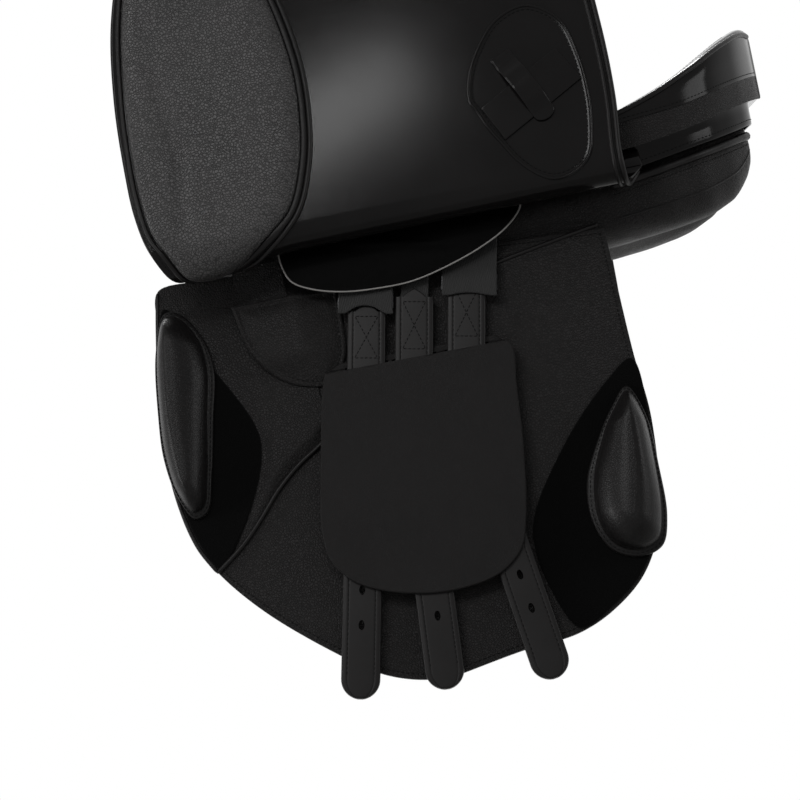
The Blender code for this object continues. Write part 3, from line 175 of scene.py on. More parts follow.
def distance_to(points, line, closed=False):
    """How far each point lies from a line, worked out a few million pairs at a time."""
    line = np.vstack((line, line[:1])) if closed else line
    chunks = np.array_split(points, max(len(points) * len(line) // 4_000_000, 1))
    return np.concatenate([nearest_on(chunk, line)[1] for chunk in chunks])


# %% [markdown]
# ## Laying rules
# Leather is drawn flat, in two coordinates and a height, and a rule lays it in space. One rule puts it on
# the sweat flap's flared face, another on the flap that turns about its fold.


# %% Laying rules
def on_flare(side):
    """Lays (x, z, height) on the sweat flap's face, which flares out as it falls."""

    def lay(u, v, h):
        """The place on the face at (u, v), moved out along its normal by h."""
        out = FLARE_OUT - v * math.tan(FLARE) + h * math.cos(FLARE)
        return np.stack(np.broadcast_arrays(u, side * out, v + h * math.sin(FLARE)), axis=-1)

    return lay


def on_line(side, line):
    """Lays (x, length along a fall line, height to its left). The line is (distance out, height) points."""
    line = np.asarray(line, float)
    d = unit(np.gradient(line, axis=0))
    run = run_of(line)

    def lay(u, v, h):
        """The fall line read at v, or carried straight on past its end, moved along its normal by h."""
        u, v, h = np.broadcast_arrays(u, v, h)
        past = v - np.clip(v, run[0], run[-1])
        out, up, dx, dz = (np.interp(v, run, c) for c in (line[:, 0], line[:, 1], d[:, 0], d[:, 1]))
        return np.stack((u, side * (out + dx * past - dz * h), up + dz * past + dx * h), axis=-1)

    return lay


def flap_line(direction_deg, length=0.36, steps=2):
    """The flap's fall line: straight on, from where the fold's circle points the given way."""
    turn = math.radians(direction_deg)
    start = np.array(FOLD_CENTRE) + FOLD_RADIUS * np.array((math.sin(turn), -math.cos(turn)))
    return start + np.linspace(0, length, steps)[:, None] * np.array((math.cos(turn), math.sin(turn)))


def from_strap(p, q):
    """(x, z) of a place given across and down the girth straps: both turned by the straps' lean."""
    return p * math.cos(LEAN) - q * math.sin(LEAN), -p * math.sin(LEAN) - q * math.cos(LEAN)


def to_strap(x, z):
    """The same turn back: how far across and down the straps a place (x, z) lies."""
    return x * math.cos(LEAN) - z * math.sin(LEAN), -x * math.sin(LEAN) - z * math.cos(LEAN)


def laid(lay, line, height):
    """A flat line laid in space at a height."""
    return lay(line[:, 0], line[:, 1], height)


def outward(lay, line):
    """The way out of a laid surface along a flat line: the step from height 0 to height 1."""
    return laid(lay, line, 1.0) - laid(lay, line, 0.0)


def circle(count, radius=1.0):
    """Points round a circle: radius times the cosine and the sine of even angles."""
    a = np.linspace(0, 2 * math.pi, count, endpoint=False)
    return radius * np.stack((np.cos(a), np.sin(a)), axis=1)


def inside(points, polygon):
    """Whether each point lies in a closed polygon: an odd number of its sides lie to the point's right."""
    a, b = polygon, np.roll(polygon, -1, axis=0)
    px, py = points[:, :1], points[:, 1:]
    crosses = (a[:, 1] > py) != (b[:, 1] > py)
    rise = np.where(a[:, 1] == b[:, 1], 1e-12, b[:, 1] - a[:, 1])
    return (crosses & (px < a[:, 0] + (py - a[:, 1]) * (b[:, 0] - a[:, 0]) / rise)).sum(1) % 2 == 1


# %% [markdown]
# ## Materials
# Each material starts from what the real one is and how its surface was made. A pattern's scale comes
# from a real size: a pebble grain of 1.8 mm is a Voronoi scale of 1 / 0.0018. A real pebble is nearer 1.3
# mm, which the picture can't show, so it is drawn a little coarser, and still breaks up the highlight.


# %% Material helpers
def linear(code):
    """An sRGB hex colour turned to linear red, green and blue."""
    c = np.array([int(code[i:i + 2], 16) for i in (0, 2, 4)]) / 255
    return (*np.where(c <= 0.04045, c / 12.92, ((c + 0.055) / 1.055) ** 2.4), 1.0)


def add(tree, kind, inputs=(), **settings):
    """Adds a node, sets its properties, and gives each named input a value or a link from another socket."""
    node = tree.nodes.new(kind)
    for key, value in settings.items():
        setattr(node, key, value)
    for key, value in dict(inputs).items():
        if isinstance(value, bpy.types.NodeSocket):
            tree.links.new(value, node.inputs[key])
        else:
            node.inputs[key].default_value = value
    return node


def material(name, colour, **sockets):
    """A named material with one Principled shader and its constant sockets."""
    made = bpy.data.materials.new(name)
    made.use_nodes = True
    shader = made.node_tree.nodes["Principled BSDF"]
    shader.inputs["Base Color"].default_value = linear(colour)
    for key, value in sockets.items():
        shader.inputs[key.replace("_", " ")].default_value = value
    return made, made.node_tree, shader


def leather(name, colour, pebble, depth, low, high, shine=0.1, tint=0.15, crease_tone_and_shade=0.7):
    """Leather with a printed grain and a soft mottle; its colour is darker in the creases and lighter on the
    crowns: partly the grain's own tone, partly painted shade and painted highlight.
    """
    made, tree, shader = material(name, colour, IOR=1.45, Specular_IOR_Level=shine)
    where = add(tree, "ShaderNodeTexCoord").outputs["Object"]
    warp = add(tree, "ShaderNodeTexNoise", {"Vector": where, "Scale": 0.5 / pebble, "Detail": 1.0})
    bent = add(tree, "ShaderNodeVectorMath",
               {0: warp.outputs["Color"], 1: (pebble * 0.35,) * 3, 2: where}, operation="MULTIPLY_ADD")
    cells = add(tree, "ShaderNodeTexVoronoi", {"Vector": bent.outputs["Vector"], "Scale": 1 / pebble},
                feature="DISTANCE_TO_EDGE")
    crown = add(tree, "ShaderNodeMapRange",
                {"Value": cells.outputs["Distance"], "From Min": 0.0, "From Max": 0.22},
                interpolation_type="SMOOTHSTEP")
    fine = add(tree, "ShaderNodeTexNoise", {"Vector": where, "Scale": 2.2 / pebble, "Detail": 3.0})
    mottle = add(tree, "ShaderNodeTexNoise", {"Vector": where, "Scale": 28.0, "Detail": 4.0})
    height = add(tree, "ShaderNodeMath", {0: fine.outputs["Fac"], 1: 0.15, 2: crown.outputs["Result"]},
                 operation="MULTIPLY_ADD")
    bump = add(tree, "ShaderNodeBump",
               {"Height": height.outputs["Value"], "Distance": depth, "Strength": 0.9})
    rough = add(tree, "ShaderNodeMapRange",
                {"Value": mottle.outputs["Fac"], "From Min": 0.3, "From Max": 0.7,
                 "To Min": low, "To Max": high})
    shade = add(tree, "ShaderNodeMapRange",
                {"Value": mottle.outputs["Fac"], "From Min": 0.25, "From Max": 0.75,
                 "To Min": 1 - tint, "To Max": 1 + tint})
    # Darker creases and lighter crowns in the colour: partly the grain's own tone, partly painted shade and
    # painted highlight.
    crease_tone_and_shade_map = add(tree, "ShaderNodeMapRange",
               {"Value": crown.outputs["Result"], "To Min": crease_tone_and_shade, "To Max": 1.15})
    both = add(tree, "ShaderNodeMath", {0: shade.outputs["Result"], 1: crease_tone_and_shade_map.outputs["Result"]},
               operation="MULTIPLY")
    base = add(tree, "ShaderNodeVectorMath", {0: linear(colour)[:3], "Scale": both.outputs["Value"]},
               operation="SCALE")
    tree.links.new(base.outputs["Vector"], shader.inputs["Base Color"])
    tree.links.new(rough.outputs["Result"], shader.inputs["Roughness"])
    tree.links.new(bump.outputs["Normal"], shader.inputs["Normal"])
    return made


def bumped(name, colour, texture, inputs, output, depth, stretch=(1.0, 1.0, 1.0), **sockets):
    """A material whose one texture, stretched as asked, drives its bump."""
    made, tree, shader = material(name, colour, **sockets)
    where = add(tree, "ShaderNodeTexCoord").outputs["Object"]
    drawn = add(tree, "ShaderNodeVectorMath", {0: where, 1: stretch}, operation="MULTIPLY")
    pattern = add(tree, texture, {"Vector": drawn.outputs["Vector"], **inputs})
    bump = add(tree, "ShaderNodeBump", {"Height": pattern.outputs[output], "Distance": depth})
    tree.links.new(bump.outputs["Normal"], shader.inputs["Normal"])
    return made


# %% [markdown]
# ### The saddle's finishes
# Calf leather is tanned, dyed through and finished with a thin film. The flaps' leather is the smoothest,
# so a lamp draws a clear sheen on it. The straps' leather is waxed and duller, the blocks' is stretched
# over foam, and the guard's has a fine grain. The pads, pockets and sweat flaps are printed with a
# coarser pebble. In each leather's colour the grain's creases are darker and its crowns lighter: partly
# the grain's own tone, partly painted shade and painted highlight. The pads' lining is painted a lighter
# grey, a painted highlight where it faces the lamp, and the safe's glazed leather is painted darker, as
# painted shade under the lifted flap. A cut edge is pale grey. The loop pile that grips the blocks is
# velvet. Thread is waxed polyester. The webs are woven nylon, the bars and nails brushed stainless steel,
# the slides dark grey steel, and the tree is moulded from glass-filled nylon.

# %% Finishes
# Leathers: colour, pebble and its depth in mm, least and most roughness, shine, and how much darker the
# creases are: partly the grain's own tone, partly painted shade.
LEATHERS = {
    # Rolled smooth: no grain to see, and a clear sheen under a lamp.
    "smooth_calf_leather": ("100f0f", 0.9, 0.006, 0.10, 0.12, 0.08, 0.9),
    # Printed pebble: an even, dull black with a fine sparkle.
    "printed_grain_leather": ("1d1c1c", 1.8, 0.30, 0.40, 0.50, 0.08, 0.5),
    # Softer lining leather over foam, painted the lightest grey: a painted highlight, since its grain faces
    # the lamp.
    "fine_grain_lining_leather_painted_lighter": ("343333", 2.0, 0.24, 0.32, 0.42, 0.22, 0.15),
    # Glazed, and painted darker than the other blacks: painted shade, since it covers the safe under the
    # lifted flap.
    "glazed_calf_leather_painted_shade": ("040404", 0.7, 0.02, 0.24, 0.32, 0.02, 0.95),
    # Waxed: smooth and evenly dull.
    "waxed_strap_leather": ("141313", 0.8, 0.01, 0.36, 0.44, 0.115, 0.9),
    # Stretched over a block: its pebble is pulled nearly flat, so the light follows the form.
    "stretched_block_leather": ("131212", 1.7, 0.06, 0.30, 0.36, 0.10, 0.6),
    # Fine print on a firm plate: flat and matt.
    "fine_grain_guard_leather": ("151414", 0.9, 0.12, 0.38, 0.46, 0.08, 0.7),
    # Thin leather drawn over a cord: a narrow line of light.
    "piping_leather": ("121111", 0.8, 0.03, 0.28, 0.36, 0.10, 0.9),
}
smooth, grained, lining, glazed_painted_darker, strap_leather, block_leather, fine_grained, piping_leather = (
    leather(name, colour, pebble * MM, depth * MM, low, high, shine=shine, crease_tone_and_shade=crease_tone_and_shade)
    for name, (colour, pebble, depth, low, high, shine, crease_tone_and_shade) in LEATHERS.items())

NOISE = "ShaderNodeTexNoise"
# A cut edge: a pale grey line, slightly rough.
pale_grey_edge = bumped("pale_grey_cut_edge", "6f6d6b", NOISE, {"Scale": 900.0}, "Fac", 0.1 * MM, Roughness=0.5)
# Waxed thread: nearly black dashes that hardly shine.
thread = bumped("waxed_polyester_thread", "060606", NOISE, {"Scale": 2500.0}, "Fac", 0.1 * MM,
                Roughness=0.75, Specular_IOR_Level=0.08)
# Velvet: drinks the light, and shows a faint bloom at a grazing view.
pile = bumped("velvet_loop_pile", "060606", NOISE, {"Scale": 900.0, "Detail": 2.0, "Roughness": 0.7},
              "Fac", 0.5 * MM, Roughness=0.95, Sheen_Weight=0.05, Sheen_Roughness=0.5,
              Specular_IOR_Level=0.02)
# Woven nylon: fine ribs and a soft sheen.
nylon = bumped("woven_nylon_web", "161616", "ShaderNodeTexWave",
               {"Scale": 260.0, "Distortion": 0.6, "Detail": 1.0}, "Fac", 0.2 * MM, Roughness=0.62,
               Sheen_Weight=0.1, Specular_IOR_Level=0.15)
# Brushed steel: long fine scratches that smear the light.
steel = bumped("brushed_stainless_steel", "b9b9b7", NOISE, {"Scale": 1.0, "Detail": 3.0}, "Fac",
               0.03 * MM, stretch=(40.0, 900.0, 900.0), Metallic=1.0, Roughness=0.3)
# Dark grey steel, with a metal's highlight.
dark_steel = bumped("dark_grey_steel", "2c2c2d", NOISE, {"Scale": 900.0, "Detail": 2.0}, "Fac",
                     0.02 * MM, Metallic=1.0, Roughness=0.32)
# Glass-filled nylon: moulded, grey and matt.
moulded = bumped("glass_filled_nylon", "2b2b2d", NOISE, {"Scale": 1200.0, "Detail": 2.0}, "Fac", 0.1 * MM,
                 Roughness=0.55)

CARRIED_OVER = {"tree": moulded, "head_plate": grained, "seat_nail_near": steel, "seat_nail_off": steel}
for side_name, _ in SIDES:
    for node_name in ("stirrup_bar", "bar_catch"):
        CARRIED_OVER[f"{node_name}_{side_name}"] = steel
    for node_name in ("front_slide", "rear_slide"):
        CARRIED_OVER[f"{node_name}_{side_name}"] = dark_steel
for node_name, finish in CARRIED_OVER.items():
    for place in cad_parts[node_name].material_slots:
        place.material = finish
print("finishes", len(bpy.data.materials), "on carried-over nodes", len(CARRIED_OVER))

# %% [markdown]
# ## Making pieces
# A sheet of leather is a set of rings: the outermost follows the cut outline, and each next one lies
# nearer to a spine inside it. Rings crowd together at the rim, where the edge is rounded and the
# stitching lies. A piece of piping or a seam is a small profile carried along a path.


# %% Pieces from points and faces
def mend(mesh, merge=2e-6):
    """Merges points closer than a distance, splits faces of five sides and more, and turns all faces out."""
    bm = bmesh.new()
    bm.from_mesh(mesh)
    bmesh.ops.remove_doubles(bm, verts=bm.verts, dist=merge)
    bmesh.ops.dissolve_degenerate(bm, edges=bm.edges, dist=1e-6)
    bmesh.ops.triangulate(bm, faces=[f for f in bm.faces if len(f.verts) > 4])
    bmesh.ops.recalc_face_normals(bm, faces=bm.faces)
    bm.to_mesh(mesh)
    bm.free()


def piece(name, verts, faces, finish, body, replaces=None, slot="smooth_leather", angle=40,
          edge_faces=None):
    """A closed mesh from arrays. It rides on its body and replaces the CAD node of its name, if any."""
    mesh = bpy.data.meshes.new(name)
    mesh.from_pydata(np.asarray(verts, float).tolist(), [], [tuple(f) for f in faces])
    for one in finish if isinstance(finish, list) else [finish]:
        mesh.materials.append(one)
    if edge_faces is not None:
        marks = np.zeros(len(mesh.polygons), np.int32)
        marks[edge_faces] = 1
        mesh.polygons.foreach_set("material_index", marks)
    mend(mesh)
    mesh.shade_smooth()
    mesh.set_sharp_from_angle(angle=math.radians(angle))
    obj = bpy.data.objects.new(name, mesh)
    bpy.context.scene.collection.objects.link(obj)
    if body:
        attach(obj, body)
    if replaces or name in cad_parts:
        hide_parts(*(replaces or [name]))
    return obj


def grid_faces(rows, columns):
    """Quads between neighbouring rows of a grid, each of which closes into a ring."""
    i, j = np.meshgrid(np.arange(rows - 1), np.arange(columns), indexing="ij")
    a = i * columns + j
    b = i * columns + (j + 1) % columns
    return np.stack((a, b, b + columns, a + columns), axis=-1).reshape(-1, 4)


def capped(rows, columns):
    """The grid's quads, with one face over each end ring."""
    last = (rows - 1) * columns
    return grid_faces(rows, columns).tolist() + [list(range(columns)), list(range(last, last + columns))]


RIM_STEPS = np.array((0.0, 0.12, 0.35, 0.7, 1.2, 1.8, 2.5, 3.2, 4.0, 5.0, 6.0, 7.2, 8.6, 10.5, 13.0)) * MM


def ring_points(outline, spine, steps, rings):
    """Rings of (u, v) from the outline towards the spine: first at set depths, then in even shares."""
    target, reach = nearest_on(outline, spine)
    limit = np.minimum(steps[-1], 0.6 * reach)
    shares = steps[:, None] / steps[-1] * (limit / np.maximum(reach, 1e-9))[None]
    rest = np.linspace(0, 0.94, rings + 1)[1:, None]
    shares = np.vstack((shares, shares[-1] + (1 - shares[-1]) * rest))
    return outline[None] + (target - outline)[None] * shares[..., None]


def sheet(name, outline, spine, lay, base, thick, finish, body, replaces=None, relief=None, rings=10,
          round_edge=0.6 * MM, slot="smooth_leather", edge=None, steps=RIM_STEPS):
    """A leather sheet: height = base + thickness - rounding near the edge + relief at (u, v, depth)."""
    outline, spine = np.asarray(outline, float), np.asarray(spine, float)
    base_at = base if callable(base) else (lambda u, v: np.full(np.shape(u), base))
    grid = ring_points(outline, spine, steps, rings)
    u, v = grid[..., 0], grid[..., 1]
    depth = distance_to(grid.reshape(-1, 2), outline, closed=True).reshape(u.shape)
    rim = np.clip(1 - depth / round_edge, 0, 1)
    top = base_at(u, v) + thick - 0.42 * min(thick, 1.6 * round_edge) * rim ** 2
    if relief is not None:
        top = top + relief(u, v, depth)
    back_rows = np.unique(np.r_[1, np.arange(3, len(grid), 3), len(grid) - 1])
    side_low = base_at(u[:1], v[:1]) + 0.25 * thick
    uu = np.concatenate((u[::-1], u[:1], u[back_rows]))
    vv = np.concatenate((v[::-1], v[:1], v[back_rows]))
    hh = np.concatenate((top[::-1], side_low, base_at(u, v)[back_rows]))
    verts = lay(uu, vv, hh).reshape(-1, 3)
    n = len(outline)
    finishes, marks = finish, None
    if edge is not None:
        finishes = [finish, edge]
        marks = np.arange((len(u) - 2) * n, (len(u) + 1) * n)
    return piece(name, verts, capped(len(uu), n), finishes, body, replaces, slot, edge_faces=marks)


def tube(path, up, radius, sides=10, squash=1.0, closed=False):
    """A round or flattened profile carried along a path: centre + r (cos a * across + sin a * up)."""
    path = np.asarray(path, float)
    up = np.broadcast_to(np.asarray(up, float), path.shape)
    t = unit(np.roll(path, -1, axis=0) - np.roll(path, 1, axis=0)
             if closed else np.gradient(path, axis=0))
    across = unit(np.cross(t, up))
    lift = np.cross(across, t)
    wide, high = circle(sides).T[..., None]
    r = np.full(len(path), radius)
    if not closed:
        r[[0, -1]] = 0.0
        r[[1, -2]] = 0.8 * radius
    ring = across[:, None] * wide + squash * lift[:, None] * high
    verts = (path[:, None] + ring * r[:, None, None]).reshape(-1, 3)
    faces = grid_faces(len(path), sides)
    if closed:
        i = np.arange(sides)
        last = (len(path) - 1) * sides
        j = (i + 1) % sides
        faces = np.vstack((faces, np.stack((last + i, last + j, j, i), axis=1)))
    return verts, faces


def joined(parts):
    """Several (verts, faces) pairs as one: each pair's faces count on from the points before them."""
    verts, faces, start = [], [], 0
    for v, f in parts:
        verts.append(v)
        faces.extend([[i + start for i in face] for face in f])
        start += len(v)
    return np.vstack(verts), faces


def piping(name, tubes, body="saddle", finish=piping_leather, slot="smooth_leather"):
    """One piece of several tubes, with no sharp edge along them."""
    return piece(name, *joined(tubes), finish, body, slot=slot, angle=60)


# %% [markdown]
# ## Stitching
# A saddler's stitch is a short, fat dash of waxed thread that dips into the leather at both ends. One
# small closed shape is copied along each row, and all the stitches of a body become one mesh.

# %% Stitches
STITCH_LENGTH = 2.5 * MM
STITCH_WIDTH = 0.75 * MM
STITCH_PITCH = 3.4 * MM
stitches = {}


def stitch_shape():
    """A closed dash: rings of five points whose radius swells from the ends, bent down at both ends."""
    along = np.array((-0.5, -0.36, 0.0, 0.36, 0.5))
    radius = np.array((0.0, 0.8, 1.0, 0.8, 0.0)) * 0.5
    drop = np.array((-0.55, -0.16, 0.0, -0.16, -0.55)) * 0.5
    wide, high = circle(5).T
    y, z = radius[:, None] * wide * STITCH_WIDTH, (radius[:, None] * high + drop[:, None]) * STITCH_WIDTH
    verts = np.stack(np.broadcast_arrays(along[:, None] * STITCH_LENGTH, y, z), axis=-1)
    return verts.reshape(-1, 3), grid_faces(5, 5)


def sew(body, points, normals, pitch=STITCH_PITCH):
    """Lays stitches at even steps along a path in space; each stands on its surface's normal."""
    points, normals = np.asarray(points, float), np.asarray(normals, float)
    run = run_of(points)
    count = max(int(run[-1] / pitch), 2)
    at = (np.arange(count) + 0.5) * run[-1] / count
    place, up = read_at(at, run, points), read_at(at, run, normals)
    t = unit(read_at(at + 0.2 * pitch, run, points) - read_at(at - 0.2 * pitch, run, points))
    b = unit(np.cross(up, t))
    n = np.cross(t, b)
    shape, faces = stitch_shape()
    verts = (place[:, None] + shape[None, :, :1] * t[:, None] + shape[None, :, 1:2] * b[:, None]
             + shape[None, :, 2:] * n[:, None])
    all_faces = (faces[None] + (np.arange(count) * len(shape))[:, None, None]).reshape(-1, 4)
    stitches.setdefault(body, []).append((verts.reshape(-1, 3), all_faces))


def sew_on(body, lay, path, height, pitch=STITCH_PITCH):
    """Stitches along a flat (u, v) path laid at a height, which is a number or one value a point."""
    path = even(path, 1.0 * MM)
    h = height(path[:, 0], path[:, 1]) if callable(height) else np.full(len(path), height)
    points = laid(lay, path, h)
    sew(body, points, unit(laid(lay, path, h + MM) - points), pitch)


def inset(outline, depth, closed=True):
    """The outline moved inwards by a depth, along its own normals. On an open line, inwards is its left."""
    p = np.asarray(outline, float)
    t = unit(np.roll(p, -1, axis=0) - np.roll(p, 1, axis=0) if closed else np.gradient(p, axis=0))
    n = np.stack((-t[:, 1], t[:, 0]), axis=1)
    if closed:
        area = 0.5 * np.sum(p[:, 0] * np.roll(p[:, 1], -1) - np.roll(p[:, 0], -1) * p[:, 1])
        n = n * np.sign(area)
    return p + n * depth


def part_of(line, start, end):
    """The stretch of a closed line between the places nearest to two points, the way the line runs."""
    i = int(np.linalg.norm(line - np.array(start), axis=1).argmin())
    j = int(np.linalg.norm(line - np.array(end), axis=1).argmin())
    return line[i:j + 1] if i <= j else np.vstack((line[i:], line[:j + 1]))


def groove(distance, width, depth):
    """A soft channel: deepest on its line and gone at its width."""
    return -depth * np.clip(1 - (distance / width) ** 2, 0, 1) ** 2


print("stitch", STITCH_LENGTH, "m long, every", STITCH_PITCH, "m")

# %% [markdown]
# ## The camera and the light
# The photograph looks square at the near side through a long lens, and the saddle is turned 11.6 degrees
# in its plane, so the camera is rolled and the saddle stands level. The photograph's background is plain
# white: the world is white where the camera or a reflection sees it and grey where it lights the leather.
# A large soft light stands above and to the left, and two lower ones at the ends draw the bright rims. A
# narrow strip leans over the lifted flap, whose smooth leather shows it as a slanting sheen. One more
# fills the far side.

# %% Camera, floor and light
ROLL = math.radians(11.6)
ELEVATION = math.radians(-1.0)
VIEW_CENTRE = Vector((-24.5 * MM, -170 * MM, -66.9 * MM))
DISTANCE = 2.4
LENS = 153.4
WORLD_LIGHT = 0.18
WORLD_SEEN = 1.0
STRIP_LEAN = math.radians(-68)
FLOOR_Z = -0.56
FLOOR_RADIUS = 0.8
FLOOR_GLOW = 0.2

bpy.context.scene.view_settings.view_transform = "Standard"
camera = bpy.data.objects.new("camera", bpy.data.cameras.new("camera"))
camera.data.lens = LENS
camera.data.sensor_width = 36.0
camera.location = VIEW_CENTRE + DISTANCE * Vector((0.0, -math.cos(ELEVATION), math.sin(ELEVATION)))
camera.rotation_euler = (Matrix.Rotation(math.pi / 2 - ELEVATION, 3, "X")
                         @ Matrix.Rotation(-ROLL, 3, "Z")).to_euler()
bpy.context.scene.collection.objects.link(camera)
bpy.context.scene.camera = camera

world = bpy.data.worlds.new("studio")
bpy.context.scene.world = world
world.use_nodes = True
world_tree = world.node_tree
background = world_tree.nodes["Background"]
background.inputs["Color"].default_value = (1.0, 1.0, 1.0, 1.0)
rays = add(world_tree, "ShaderNodeLightPath")
seen = add(world_tree, "ShaderNodeMath",
           {0: rays.outputs["Is Camera Ray"], 1: rays.outputs["Is Glossy Ray"]}, operation="MAXIMUM")
seen = add(world_tree, "ShaderNodeMath", {0: seen.outputs[0], 1: rays.outputs["Is Transmission Ray"]},
           operation="MAXIMUM")
level = add(world_tree, "ShaderNodeMapRange",
            {"Value": seen.outputs[0], "To Min": WORLD_LIGHT, "To Max": WORLD_SEEN})
world_tree.links.new(level.outputs["Result"], background.inputs["Strength"])


def soft_light(name, place, size, watts, towards=(0.0, -0.17, 0.0), height=None, lean=0.0):
    """A flat lamp that faces a place. A height makes it a strip, and lean turns that about its own axis."""
    lamp = bpy.data.objects.new(name, bpy.data.lights.new(name, "AREA"))
    lamp.data.shape = "RECTANGLE"
    lamp.data.size = size
    lamp.data.size_y = height or size
    lamp.data.energy = watts
    lamp.location = place
    facing = (Vector(towards) - Vector(place)).to_track_quat("-Z", "Y")
    lamp.rotation_euler = (facing @ Quaternion((0.0, 0.0, 1.0), lean)).to_euler()
    lamp.visible_camera = False
    bpy.context.scene.collection.objects.link(lamp)


soft_light("key_light", (-1.0, -1.9, 1.6), 1.0, 26.0)
soft_light("sheen_strip", (-0.075, -0.965, 0.575), 0.06, 1.45, towards=(-0.046, -0.18, 0.121),
           height=0.26, lean=STRIP_LEAN)
soft_light("front_rim", (-1.9, -0.5, 0.3), 0.7, 18.0)
soft_light("rear_rim", (1.9, -0.6, 0.4), 0.7, 9.0)
soft_light("off_side_fill", (-0.3, 1.7, 1.5), 1.0, 60.0)

floor_mesh = bpy.data.meshes.new("floor")
disc = np.hstack((circle(96, FLOOR_RADIUS), np.full((96, 1), FLOOR_Z)))
floor_mesh.from_pydata(disc.tolist(), [], [list(range(96))])
floor = bpy.data.objects.new("floor", floor_mesh)
bpy.context.scene.collection.objects.link(floor)
floor_paint = bumped("matt_white_floor", "f2f2f0", NOISE, {"Scale": 200.0}, "Fac", 0.1 * MM,
                     Roughness=0.9)
floor_tree = floor_paint.node_tree
floor_shader = floor_tree.nodes["Principled BSDF"]
floor_shader.inputs["Emission Color"].default_value = (1.0, 1.0, 1.0, 1.0)
floor_rays = add(floor_tree, "ShaderNodeLightPath")
glow = add(floor_tree, "ShaderNodeMath", {0: floor_rays.outputs["Is Camera Ray"], 1: FLOOR_GLOW},
           operation="MULTIPLY")
floor_tree.links.new(glow.outputs[0], floor_shader.inputs["Emission Strength"])
floor_mesh.materials.append(floor_paint)
print("camera at", tuple(round(c, 3) for c in camera.location))

# %% [markdown]
# ## The sweat flap and what lies on it
# The sweat flap is one flat grained sheet on a flare, lightly padded in front, with a piped ridge
# between. The point pocket, the two velvet loop areas and the two blocks are sewn or pressed on it.

# %% Outlines seen from the side, in metres
SWEAT_FRONT = np.array(((-150, 46), (-178, 43.7), (-183, 16), (-188.5, -20), (-192.3, -61),
                        (-190.5, -105), (-183, -138.7), (-171.7, -160.4), (-144, -193.5), (-98, -233),
                        (-73, -250), (-46, -259), (-21, -260))) * MM
SWEAT_REAR = np.array(((-21, -260), (23.7, -253), (64, -249), (91.4, -238), (117, -218), (134.5, -186),
                       (145, -116), (142.7, -65), (142, 24))) * MM
FRONT_LOOP = np.array(((-176, 30), (-153, -12), (-127, -67), (-128, -89), (-150, -135), (-170.5, -157),
                       (-181.5, -137.5), (-189, -104), (-190.5, -61), (-186.5, -20))) * MM
REAR_LOOP = np.array(((140.5, -71), (119.5, -83.5), (79, -124), (47.5, -175), (53, -223), (66, -246.5),
                      (90, -236.5), (115.5, -217), (133, -186), (143.3, -116))) * MM
KNEE_OUTLINE = np.array(((-176, 26), (-166, 24), (-153, 5), (-148.5, -20), (-155.5, -55), (-163.5, -92),
                         (-171.5, -118), (-181, -121), (-190.5, -103), (-195, -76), (-193.5, -45),
                         (-187, 0))) * MM
KNEE_CREST = np.array(((-178, 0), (-183, -45), (-183, -95))) * MM
THIGH_OUTLINE = np.array(((132.5, -90), (118, -104), (103, -126), (91, -150), (89, -178), (98, -199),
                          (116, -207.5), (133, -203), (140.5, -184), (142.5, -150), (141.5, -112))) * MM
THIGH_CREST = np.array(((129, -118), (126, -150), (118, -182))) * MM
POCKET_OUTLINE = np.array(((-128.5, 20), (-122, -12), (-108, -33), (-88, -44.5), (-69, -46), (-56, -30),
                           (-53, -8), (-53, 20))) * MM
RIDGE = np.array(((-78, -80), (-83.7, -85.7), (-102.7, -97.6), (-120.1, -112), (-136.7, -130.2),
                  (-152, -145), (-173, -160.5))) * MM
TOP_SEAM = np.array(((50, 13), (60.6, 14.9), (100, 21.5), (138.7, 27.6))) * MM
SWELL = 3.4 * MM

